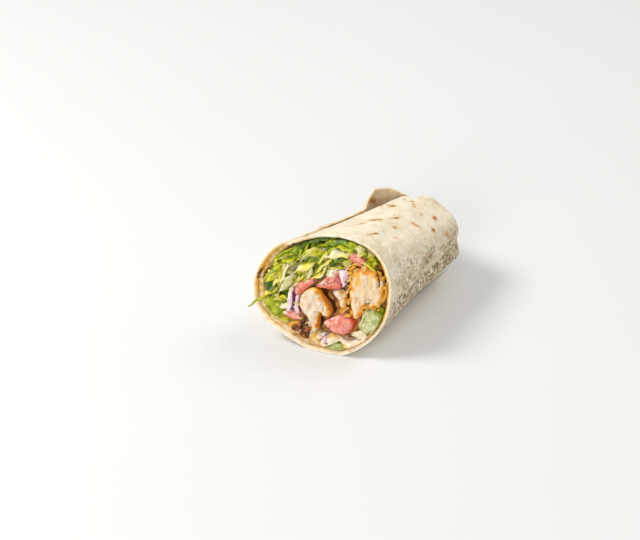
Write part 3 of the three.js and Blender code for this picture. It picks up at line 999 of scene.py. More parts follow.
@dataclass(frozen=True)
class LettuceFinish:
    """Shredded lettuce: white ribs, yellow-green and dark green leaf, and painted shade between them."""

    tones: tuple[tuple[float, str], ...] = (
        (0.0, "fdf4de"),
        (0.18, "f4e9ac"),
        (0.36, "ead94e"),
        (0.52, "d2cc1c"),
        (0.68, "abb60a"),
        (0.84, "7a9406"),
        (1.0, "466408"),
    )
    vein: str = "eff0b4"
    # partly painted shade: the dark brown of the core seen down in the gaps round the meat, where there is
    # also real juice
    juice_and_gap_shade: str = "8f4a12"
    meat: str = "e09430"
    shadow: str = "2a3606"

    def build(self) -> bpy.types.Material:
        """The material of the shreds and their core.

        Returns:
            The material.
        """
        p = Paint("lettuce")
        uneven = p.times(p.step(p.noise(0.3, 4.0), 0.3, 0.7), 0.2)
        tone = p.plus(p.stored("tone"), uneven)
        leaf = p.ramp(tone, self.tones)
        veins = p.step(p.noise(0.7, 3.0, p.stretched(35.0, (1.0, 0.5, 0.25))), 0.55, 0.7)
        leaf = p.blend(p.times(veins, 0.25), leaf, self.vein)
        meat = p.blend(p.step(p.noise(0.35, 4.0), 0.4, 0.62), self.juice_and_gap_shade, self.meat)
        leaf = p.blend(p.stored("meaty"), leaf, meat)
        shaded = p.blend(0.6, leaf, self.shadow)
        leaf = p.blend(p.step(p.stored("shadow"), 0.0, 1.0), leaf, shaded)
        p.relief(0.3, 0.5, 2.0, 0.35)
        return p.finish(leaf, 0.36, 0.4, (2.2, 2.0, 0.4), 0.4)


@dataclass(frozen=True)
class SauceFinish:
    """Thin creamy sauce."""

    name: str
    light: str
    dark: str

    def build(self) -> bpy.types.Material:
        """The material of a sauce.

        Returns:
            The material.
        """
        p = Paint(self.name)
        colour = p.blend(p.step(p.noise(0.5, 4.0), 0.35, 0.68), self.light, self.dark)
        p.relief(0.25, 0.6, 2.0, 0.3)
        return p.finish(colour, 0.2, 0.3, (2.0, 1.6, 1.2), 0.6)


def floor_material() -> bpy.types.Material:
    """The plain pale floor."""
    p = Paint("floor")
    return p.finish(p.blend(p.noise(0.002), "ededeb", "e6e6e4"), 0.6, 0.0, (1.0, 1.0, 1.0), 0.2)


# ---- The bread ----------------------------------------------------------------------------


def turned_from(degrees: np.ndarray, middle: float) -> np.ndarray:
    """How far each angle lies from a middle one, from -180 to 180."""
    return np.mod(degrees - middle + 180.0, 360.0) - 180.0


@dataclass(frozen=True)
class Toast:
    """A toasted mark on the bread: its place round the roll and along it, and its size in mm."""

    degrees: float
    k: float
    along: float
    around: float
    turn: float = 0.0
    strength: float = 1.0


TOASTED = (
    Toast(122, 0.82, 2.4, 4.6, 0, 1.0),
    Toast(127, 0.96, 1.4, 3.0, 0, 0.45),
    Toast(110, 0.93, 1.6, 3.6, 0, 0.55),
    Toast(93, 0.86, 1.3, 2.8, -20, 0.95),
    Toast(84, 0.82, 1.2, 2.8, -20, 0.95),
    Toast(80, 0.79, 1.4, 1.8, 0, 0.75),
    Toast(77, 0.72, 2.0, 1.0, 0, 0.4),
    Toast(79, 0.69, 1.6, 1.0, 0, 0.35),
    Toast(88, 0.73, 1.0, 1.6, 0, 0.25),
    Toast(92, 0.28, 4.8, 0.75, -24, 0.85),
    Toast(88, 0.38, 5.6, 0.95, -24, 1.0),
    Toast(83, 0.42, 1.8, 0.9, -24, 0.9),
    Toast(76, 0.52, 4.4, 1.0, -20, 1.0),
    Toast(81, 0.55, 1.2, 1.0, 0, 0.5),
    Toast(70, 0.19, 4.6, 0.85, -16, 1.0),
    Toast(65, 0.41, 2.8, 2.4, 0, 0.5),
    Toast(55, 0.32, 2.2, 1.1, -50, 0.55),
    Toast(57, 0.61, 4.4, 1.4, -58, 0.85),
    Toast(66, 0.76, 1.6, 1.2, 0, 0.5),
    Toast(54, 0.84, 2.8, 1.8, 0, 0.8),
    Toast(43, 0.72, 1.9, 1.6, 0, 0.75),
    Toast(32, 0.85, 1.4, 1.6, 0, 0.75),
    Toast(28, 0.88, 2.4, 1.2, -50, 0.45),
    Toast(17, 0.79, 1.5, 2.2, 0, 0.95),
    Toast(20, 0.6, 4.6, 3.4, 15, 0.3),
)

# Dark spots on the bread's inner side at the cut: degrees round the roll, and reach in degrees.
SCORCHED = ((175.0, 6.0), (134.0, 7.0), (122.0, 3.0))


@dataclass(frozen=True)
class Stroke:
    """A soft mark on a piece's front: its line in the section, its reach in mm and its strength."""

    line: Points
    reach: float
    strength: float = 1.0

    def cover(self, x: np.ndarray, z: np.ndarray, rough: np.ndarray) -> np.ndarray:
        """How strongly the mark covers each point.

        Args:
            x: the points' places to the right.
            z: their heights.
            rough: a random value for each, for a ragged edge.

        Returns:
            A value from 0 to the mark's strength for each point.
        """
        spot = len(self.line) == 1
        line = np.array(self.line * 2, float) if spot else smoothed(self.line, 0.6, False)
        away = distance_to(np.column_stack((x, z)), line, False) / self.reach + 0.45 * rough
        return self.strength * (1.0 - smooth(0.15, 1.1, away))


# Browned places on the bread's crumpled inner end.
BROWNED = (
    Stroke(((-7.4, 12.2), (-6.2, 10.6)), 2.0, 0.8),
    Stroke(((-4.6, 13.0), (-2.6, 9.4), (0.4, 7.6)), 2.6, 1.0),
    Stroke(((-12.0, 13.4), (-10.0, 12.6)), 1.6, 0.6),
)


def covered(
    strokes: tuple[Stroke, ...], x: np.ndarray, z: np.ndarray, rough: np.ndarray
) -> np.ndarray:
    """How strongly the strongest of some marks covers each point.

    Args:
        strokes: the marks.
        x: the points' places to the right.
        z: their heights.
        rough: a random value for each, for ragged edges.

    Returns:
        A value from 0 to 1 for each point.
    """
    cover = np.zeros(len(x))
    for stroke in strokes:
        cover = np.maximum(cover, stroke.cover(x, z, rough))
    return cover


@dataclass
class Flatbread:
    """The rolled sheet of bread, its crumpled inner end and the tuck of its folded end.

    Lengths are in mm and angles in degrees. The sheet is drawn flat, with degree mm for each
    degree round the roll and flat_length mm for the way along it.
    """

    columns: int = 320
    inner_columns: int = 70
    degree: float = 0.6
    flat_length: float = 90.0
    rim_round: float = 6.0
    dish_depth: float = 3.5
    turn_end: float = 366.0
    inner_end: float = 1.0
    bevel: float = 0.35
    farthest: float = 100.54
    wander: float = 1.4
    pleat: float = 1.5
    middle_depth: float = 4.0
    random_marks: int = 46
    tail_from: float = 221.0
    tail_to: float = 339.0
    tail_voxel: float = 0.45
    wrinkle: float = 1.1

    def rows(self) -> np.ndarray:
        """Where the sheet's rows lie.

        Returns:
            k along the roll, then 1 to 2 over the folded end's rim and 2 to 3 to its middle.
        """
        front = np.array((0.0, 0.004, 0.009, 0.016))
        along = np.linspace(0.027, 1.0, 82)
        rim = 1.0 + np.linspace(0.0, 1.0, 9)[1:]
        dish = 2.0 + np.linspace(0.0, 1.0, 14)[1:]
        return np.concatenate((front, along, rim, dish))

    def sheet(self) -> bpy.types.Object:
        """The sheet, made flat with its thickness and rounded edges and then rolled up.

        Returns:
            The rolled sheet.
        """
        rows = self.rows()
        pasts = np.concatenate(
            (
                np.linspace(0.0, self.turn_end, self.columns),
                np.linspace(self.turn_end, 360.0 + ROLL.tail, self.inner_columns + 1)[1:],
            )
        )
        across, along = len(pasts) - 1, len(rows) - 1
        bpy.ops.mesh.primitive_grid_add(x_subdivisions=across, y_subdivisions=along, size=2.0)
        sheet = bpy.context.object
        sheet.name = sheet.data.name = "flatbread_sheet"
        flat = corners(sheet)
        column = np.rint((flat[:, 0] + 1.0) / 2.0 * across).astype(int)
        row = np.rint((flat[:, 1] + 1.0) / 2.0 * along).astype(int)
        u, v = pasts[column] * self.degree, rows[row] * self.flat_length
        move_corners(sheet, np.column_stack((u, v, np.zeros(len(flat)))))
        last = rows[np.searchsorted(rows, self.inner_end)] * self.flat_length
        edit(sheet, "DESELECT")
        bpy.ops.mesh.select_mode(type="FACE")
        bpy.ops.object.mode_set(mode="OBJECT")
        for face in sheet.data.polygons:
            face.select = face.center.x > self.turn_end * self.degree and face.center.y > last
        bpy.ops.object.mode_set(mode="EDIT")
        bpy.ops.mesh.delete(type="FACE")
        bpy.ops.object.mode_set(mode="OBJECT")
        modify(sheet, "SOLIDIFY", thickness=ROLL.bread, offset=-1.0)
        only_edges = {"limit_method": "ANGLE", "angle_limit": math.radians(60.0)}
        modify(sheet, "BEVEL", width=self.bevel, segments=2, **only_edges)
        self.roll_up(sheet)
        return sheet

    def roll_up(self, sheet: bpy.types.Object) -> None:
        """Rolls the flat sheet up and folds its end in, and stores what its finish needs.

        Args:
            sheet: the flat sheet.
        """
        flat = corners(sheet)
        past = flat[:, 0] / self.degree
        row = flat[:, 1] / self.flat_length
        deep = -flat[:, 2]
        k = np.minimum(row, 1.0)
        rim = np.clip(row - 1.0, 0.0, 1.0) * math.pi / 2.0
        dish = 1.0 - 0.96 * np.clip(row - 2.0, 0.0, 1.0)
        at_k = np.column_stack((k * ROLL.length, np.zeros_like(k), np.zeros_like(k)))
        wander = self.wander * fuzz(at_k, 16.0, 5)
        degrees = ROLL.edge_angle + past + wander * (1.0 - smooth(0.0, 30.0, past))
        under = ROLL.dip(np.minimum(past, 360.0))
        end_radius = ROLL.radius * ROLL.taper
        beyond = k + self.rim_round * np.sin(rim) / ROLL.length
        # Round the roll, with the loose edge standing up as a flap.
        outer = ROLL.plain(degrees, k) - under + ROLL.flap(past, beyond)
        ripple = 0.5 * np.sin(k * 60.0) * bump(ROLL.flap_middle, ROLL.flap_reach * 1.6, beyond)
        outer += ripple * (1.0 - smooth(0.0, 24.0, past))
        # Over the rim and into the folded end, in pleats.
        pleat = self.pleat * np.cos(np.radians(7 * degrees)) * np.sin(math.pi * dish * 0.8)
        over = row > 2.0
        back = self.rim_round * np.sin(rim) - self.dish_depth * (1.0 - dish)
        back += np.where(over, pleat, 0.0) - self.middle_depth * (1.0 - smooth(0.02, 0.35, dish))
        shrink = (end_radius - self.rim_round * (1.0 - np.cos(rim))) * dish / end_radius
        # Soft bumps all over, and a nibbled edge at the cut.
        surface = np.column_stack((degrees * self.degree, row * ROLL.length, np.zeros_like(row)))
        bumps = 0.22 * (fuzz(surface, 5.0, 3) - 1.0)
        bumps = bumps + 0.3 * (fuzz(surface * (1.0, 0.25, 1.0), 7.0, 9) - 1.0)
        bumps = np.minimum(0.0, bumps) * smooth(0.0, 0.03, row)
        inward = deep - bumps * (1.0 - deep / ROLL.bread * 0.6)
        radius = (outer - inward * np.cos(rim)) * shrink
        back = back - (inward + under) * np.sin(rim)
        around = surface * (1.0, 0.0, 1.0) + (0.0, 0.0, 9.0)
        nibbled = 0.3 * (1.0 + fuzz(around, 2.4, 21)) + 0.5 * np.maximum(0.0, fuzz(around, 9.0, 23))
        tucked = 1.2 * smooth(352.0, 366.0, past) * (1.0 + fuzz(around, 7.0, 25))
        ragged = (nibbled + tucked + 0.5 * deep / ROLL.bread) * (1.0 - smooth(0.0, 0.05, row))
        x, z = ROLL.on_ray(degrees, radius)
        place = ROLL.place(x, z, k, -back - ragged)
        place = ROLL.settled(place, np.maximum(0.0, inward) + under)
        place[:, 1] = np.minimum(place[:, 1], self.farthest)
        move_corners(sheet, (place + SHIFT) * MM)
        standing = smooth(0.5, 3.0, ROLL.flap(past, beyond))
        depth = deep / ROLL.bread * (1.0 - 0.6 * standing)
        self.colour(sheet, past, np.mod(degrees, 360.0), row, depth)
        face_out(sheet)

    def marks(self) -> list[Toast]:
        """The toasted marks: those that show, and seeded random ones on the sides that don't.

        Returns:
            All the marks.
        """
        draw = random.Random(31)
        marks = list(TOASTED)
        for _ in range(self.random_marks):
            marks.append(
                Toast(
                    degrees=draw.uniform(130.0, 345.0),
                    k=draw.uniform(0.08, 1.08),
                    along=draw.uniform(0.9, 4.2),
                    around=draw.uniform(0.8, 1.9),
                    turn=draw.uniform(-40.0, 40.0),
                    strength=draw.uniform(0.35, 1.0),
                )
            )
        return marks

    def toasted(self, degrees: np.ndarray, k: np.ndarray, rough: np.ndarray) -> np.ndarray:
        """How strongly the toasted marks cover each point.

        Args:
            degrees: angles round the roll.
            k: shares of the way along it.
            rough: a random value for each, for ragged edges.

        Returns:
            A value from 0 to 1 for each point.
        """
        toast = np.zeros(len(degrees))
        arm = ROLL.radius * (1.0 - (1.0 - ROLL.taper) * np.minimum(k, 1.0))
        for spot in self.marks():
            around = np.radians(turned_from(degrees, spot.degrees)) * arm
            along = (k - spot.k) * ROLL.length
            turn = math.radians(spot.turn)
            u = along * math.cos(turn) + around * math.sin(turn)
            v = around * math.cos(turn) - along * math.sin(turn)
            away = np.hypot(u / spot.along, v / spot.around) + 0.3 * rough
            toast = np.maximum(toast, spot.strength * (1.0 - smooth(0.1, 1.5, away)))
        return toast

    def colour(
        self,
        sheet: bpy.types.Object,
        past: np.ndarray,
        degrees: np.ndarray,
        row: np.ndarray,
        depth: np.ndarray,
    ) -> None:
        """Stores where the sheet is toasted, charred and greyed by painted shade, soaked and cut.

        Args:
            sheet: the sheet.
            past: degrees after its outer edge, for each vertex.
            degrees: angle round the roll.
            row: place along it, as rows() has it.
            depth: 0 on the outside and 1 on the inside.
        """
        k = np.minimum(row, 1.0) + 0.14 * np.maximum(0.0, row - 1.0)
        front = row * ROLL.length
        surface = np.column_stack((degrees * self.degree, front, depth * 0.0))
        rough = fuzz(surface, 2.2, 14)
        cloud = fuzz(surface, 14.0, 4)
        inner = smooth(350.0, 362.0, past)

        blotch = 0.75 + 0.35 * fuzz(surface, 3.4, 15)
        toast = self.toasted(degrees, k, rough) * blotch
        mark(sheet, "toast", toast * (depth < 0.6) * (past < 362.0))

        # The charred mark is real char specks and partly painted shade: it is raised on the roll's right side
        # and on its lower half, where the roll lies in shade.
        side = 1.0 - smooth(18.0, 58.0, np.abs(turned_from(degrees, -2.0)))
        patch = np.hypot(turned_from(degrees, 18.0) / 13.0, (k - 0.6) / 0.11) + 0.3 * cloud
        low = np.mod(degrees - 180.0, 360.0) < 180.0
        charred = 0.62 * side * smooth(-0.05, 0.2, k) + 0.5 * (1.0 - smooth(0.2, 1.2, patch))
        charred += 0.25 * low + 0.22 * cloud + 0.12 * smooth(0.55, 0.9, k)
        mark(sheet, "charred", np.clip(charred, 0.0, 1.0))

        mark(sheet, "depth", np.maximum(depth, inner * (1.0 - smooth(4.0, 8.0, front))))
        cut = 1.0 - smooth(0.15, 1.1, front + 0.4 * rough)
        mark(sheet, "edge", cut * (1.0 - 0.75 * inner))
        wet = 0.8 * bump(160.0, 70.0, degrees) + 1.4 * bump(14.0, 66.0, turned_from(degrees, 0.0))
        mark(sheet, "sauce", np.clip(wet + 0.25 + 0.3 * cloud, 0.0, 1.0))

        scorch = np.zeros(len(past))
        for at, reach in SCORCHED:
            off = np.abs(turned_from(degrees, at)) / reach + 0.35 * rough
            spot = (1.0 - smooth(0.3, 1.2, off)) * (1.0 - smooth(1.0, 4.0, front))
            scorch = np.maximum(scorch, spot)
        mark(sheet, "scorch", scorch * smooth(0.3, 0.8, depth))

    def crumpled_tail(self, pockets: list[np.ndarray]) -> bpy.types.Object:
        """The sheet's inner end, crumpled into folds below the filling.

        Args:
            pockets: outlines of the pieces that lie in it.

        Returns:
            The crumpled end.
        """
        degrees = np.linspace(self.tail_from, self.tail_to, 90)
        inner = ROLL.on_ray(degrees, ROLL.cavity(degrees, 0.0))
        # Its outline stays clear of the sheet round it, and nowhere gets too thin.
        double = (ROLL.bread + ROLL.gap) * ROLL.second_layer(degrees - ROLL.edge_angle)
        outer_radius = ROLL.plain(degrees, 0.0) - ROLL.bread - double - 0.2
        outer = ROLL.on_ray(degrees, np.maximum(outer_radius, ROLL.cavity(degrees, 0.0) + 0.25))
        line = np.vstack((np.column_stack(outer), np.column_stack(inner)[::-1]))
        line[:, 1] = np.maximum(line[:, 1], 3.2)
        tail = prism("flatbread_tail", line, 0.5, FAR)
        for index, pocket in enumerate(pockets):
            cutter = prism(f"pocket_{index}", pocket, -4.0, FAR + 2.0)
            modify(tail, "BOOLEAN", operation="DIFFERENCE", object=cutter, solver="EXACT")
            bpy.data.objects.remove(cutter)
        modify(tail, "REMESH", mode="VOXEL", voxel_size=self.tail_voxel)
        modify(tail, "SMOOTH", factor=0.5, iterations=4)
        flat = corners(tail)
        x, z, depth = flat.T
        angle = np.degrees(np.arctan2(z - ROLL.centre, x))
        radius = np.hypot(x, z - ROLL.centre)
        rim = distance_to(flat[:, :2], line, True)
        share = (ROLL.plain(angle, 0.0) - radius) / 12.0
        folds = np.sin(angle / 3.6 + 11.0 * share + 3.4 * fuzz(flat, 7.0, 2))
        wrinkle = smooth(0.7, 1.0, 1.0 - np.abs(fuzz(flat * (0.7, 1.4, 0.3), 4.2, 61, 2)))
        layered = flat * (0.8, 1.4, 0.3)
        stained = np.clip(0.5 + 0.9 * fuzz(layered, 2.6, 12, 3), 0.0, 1.0)
        lumps = 0.4 * folds + 0.8 * fuzz(layered, 2.2, 6, 2) - self.wrinkle * wrinkle
        pull = 0.9 * fuzz(flat, 2.6, 63, 2) + 0.6 * fuzz(flat, 1.4, 64, 2)
        pulled = 1.0 + pull * (1.0 - smooth(5.0, 7.0, depth)) / radius
        front = 1.0 - smooth(1.0, 4.0, depth)
        depth = depth - front * (1.2 + lumps * 0.85 - 1.2 * (1.0 - smooth(0.0, 1.6, rim)))
        place = ROLL.behind(x * pulled, ROLL.centre + (z - ROLL.centre) * pulled, depth, BACK, True)
        move_corners(tail, (place + SHIFT) * MM)
        mark(tail, "toast", np.zeros(len(flat)))
        mark(tail, "charred", np.zeros(len(flat)))
        # Along the wrinkles' thin valleys the colour is made darker and more stained: painted shade in the
        # creases, over their real dents.
        mark(tail, "depth", np.clip(0.2 + 0.45 * stained + 0.3 * wrinkle, 0.0, 1.0))
        mark(tail, "edge", 1.0 - 0.25 * wrinkle)
        mark(tail, "sauce", np.clip(0.4 + 0.7 * stained, 0.0, 1.0))
        rough = fuzz(flat, 2.0, 13)
        mark(tail, "scorch", covered(BROWNED, x, z, rough))
        face_out(tail)
        return tail

    def tuck(self) -> bpy.types.Object:
        """The small knot of bread that closes the middle of the folded end.

        Returns:
            The knot.
        """
        bpy.ops.mesh.primitive_uv_sphere_add(segments=28, ring_count=16, radius=1.0)
        knot = bpy.context.object
        knot.name = knot.data.name = "flatbread_tuck"
        ball = corners(knot)
        ball *= 1.0 + 0.16 * fuzz(ball * 4.0, 3.0, 17)[:, None]
        ball = ball * (2.6, 2.2, 2.6)
        centre = ROLL.place(np.zeros(1), np.full(1, ROLL.centre), np.ones(1), np.full(1, 5.0))
        move_corners(knot, (ball + centre + SHIFT) * MM)
        looks = {"toast": 0.1, "charred": 0.3, "depth": 0.1, "edge": 0.1, "sauce": 0.0, "scorch": 0.0}
        for name, value in looks.items():
            mark(knot, name, np.full(len(ball), value))
        face_out(knot)
        return knot

    def build(self, pockets: list[np.ndarray]) -> bpy.types.Object:
        """Builds and dresses the whole bread; it stands for the part's flatbread.

        Args:
            pockets: outlines of the pieces that lie in its crumpled end.

        Returns:
            The bread.
        """
        bread = joined([self.sheet(), self.crumpled_tail(pockets), self.tuck()], "flatbread_looks")
        dress(bread, BreadFinish().build())
        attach(bread, "root")
        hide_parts("flatbread")
        return bread


# ---- Cut pieces of filling ----------------------------------------------------------------


class Food(Enum):
    """The kinds of filling that are cut pieces."""

    CHICKEN = "chicken"
    BREAST = "breast"
    SEAR = "sear"
    CHAR = "char"
    TOMATO = "tomato"
    ONION = "onion"
    CUCUMBER = "cucumber"

    @property
    def slot(self) -> str:
        """The part's slot for this food."""
        return "chicken" if self is Food.BREAST else self.value


@dataclass(frozen=True)
class Morsel:
    """A cut piece of filling, drawn in the section in mm, with the marks on its front."""

    node: str
    food: Food
    proud: float
    outline: Points
    grain: float = 20.0
    dome: float = 1.0
    rim_sear: float = 0.0
    sear: tuple[Stroke, ...] = ()
    char: tuple[Stroke, ...] = ()
    skin: tuple[Stroke, ...] = ()
    sauce: tuple[Stroke, ...] = ()
    cracks: tuple[Points, ...] = ()
    in_bread: bool = False

    def line(self, grow: float = 0.0) -> np.ndarray:
        """The piece's smoothed outline.

        Args:
            grow: how far it is grown sideways, in mm.

        Returns:
            Rows of its points, anticlockwise.
        """
        line = smoothed(self.outline, 0.8)
        area = np.sum(line[:, 0] * np.roll(line[:, 1], -1) - np.roll(line[:, 0], -1) * line[:, 1])
        if area < 0:
            line = line[::-1]
        along = np.roll(line, -1, axis=0) - np.roll(line, 1, axis=0)
        along /= np.hypot(*along.T)[:, None]
        return line + grow * np.column_stack((along[:, 1], -along[:, 0]))

    def relief(self, flat: np.ndarray, rim: np.ndarray) -> np.ndarray:
        """How far the front stands out of the cut.

        Args:
            flat: rows of the drawn bar's points: section and depth.
            rim: how far each point lies from the outline, in mm.

        Returns:
            One height for each point, in mm.
        """
        turn = math.radians(self.grain)
        along = flat[:, 0] * math.sin(turn) + flat[:, 1] * math.cos(turn)
        across = flat[:, 0] * math.cos(turn) - flat[:, 1] * math.sin(turn)
        lines = np.column_stack((across, along * 0.22, np.zeros(len(flat))))
        height = -self.dome * (1.0 - smooth(0.0, 3.2, rim)) ** 2
        if self.food.slot in ("chicken", "sear", "char"):
            height += 0.5 * fuzz(lines, 2.4, 31, 4) + 0.4 * fuzz(flat * (1, 1, 0), 5.0, 33, 3)
        elif self.food is Food.ONION:
            height += 0.25 * fuzz(lines, 1.6, 35, 2)
        else:
            height += 0.4 * fuzz(flat * (1, 1, 0), 2.8, 37, 3)
        for away in self.from_cracks(flat):
            height -= 1.1 * (1.0 - smooth(0.1, 0.9, away + 0.15 * fuzz(flat, 1.5, 39)))
        return height

    def from_cracks(self, flat: np.ndarray) -> list[np.ndarray]:
        """How far each point lies from each of the piece's cracks, in mm."""
        return [distance_to(flat[:, :2], smoothed(line, 0.5, False), False) for line in self.cracks]

    def build(self, material: bpy.types.Material) -> bpy.types.Object:
        """Builds the piece as a bar that runs along the roll, and stores what its finish needs.

        Args:
            material: its finish.

        Returns:
            The piece.
        """
        line = self.line()
        bar = prism(self.node + "_looks", line, -self.proud, FAR, 0.5)
        size = np.ptp(line, axis=0).max()
        voxel = float(np.clip(size / 46.0, 0.24, 0.42))
        modify(bar, "REMESH", mode="VOXEL", voxel_size=voxel)
        modify(bar, "SMOOTH", factor=0.5, iterations=3)
        flat = corners(bar)
        rim = distance_to(flat[:, :2], line, True) * inside(flat[:, :2], line)
        depth = flat[:, 2]
        below = depth + self.proud  # depth below the piece's own front
        near = 1.0 - smooth(1.2, 3.6, below)
        wobble = 0.14 * np.column_stack((fuzz(flat, 2.2, 41), fuzz(flat, 2.2, 43))) * near[:, None]
        x, z = (flat[:, :2] + wobble).T
        rough = fuzz(flat, 1.8, 45)
        edge = 1.0 - smooth(0.2, 1.6, rim + 0.5 * rough)
        sear = covered(self.sear, x, z, rough)
        sear += self.rim_sear * np.maximum(edge, smooth(0.5, 2.0, below))
        char = covered(self.char, x, z, rough)
        # Painted shade: a chicken bar's sides, which show only down in the gaps behind the cut, are stored as
        # near-black char.
        if self.food.slot == "chicken":
            gap_shade = smooth(0.4, 2.4, depth) * (1.0 - smooth(5.0, 7.0, depth))
            char = np.maximum(char, 0.9 * gap_shade)
        # Painted shade: each crack, which relief() dents in, is darkened through the char mark as well.
        for away in self.from_cracks(flat):
            char = np.maximum(char, 0.45 * (1.0 - smooth(0.1, 0.9, away + 0.4 * rough)))
        mark(bar, "sear", np.clip(sear, 0.0, 1.0))
        mark(bar, "char", np.clip(char, 0.0, 1.0))
        mark(bar, "skin", covered(self.skin, x, z, rough))
        mark(bar, "sauce", covered(self.sauce, x, z, rough))
        place = ROLL.behind(x, z, depth - near * self.relief(flat, rim), BACK, self.in_bread)
        move_corners(bar, (place + SHIFT) * MM)
        face_out(bar)
        dress(bar, material)
        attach(bar, "root")
        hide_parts(self.node)
        return bar


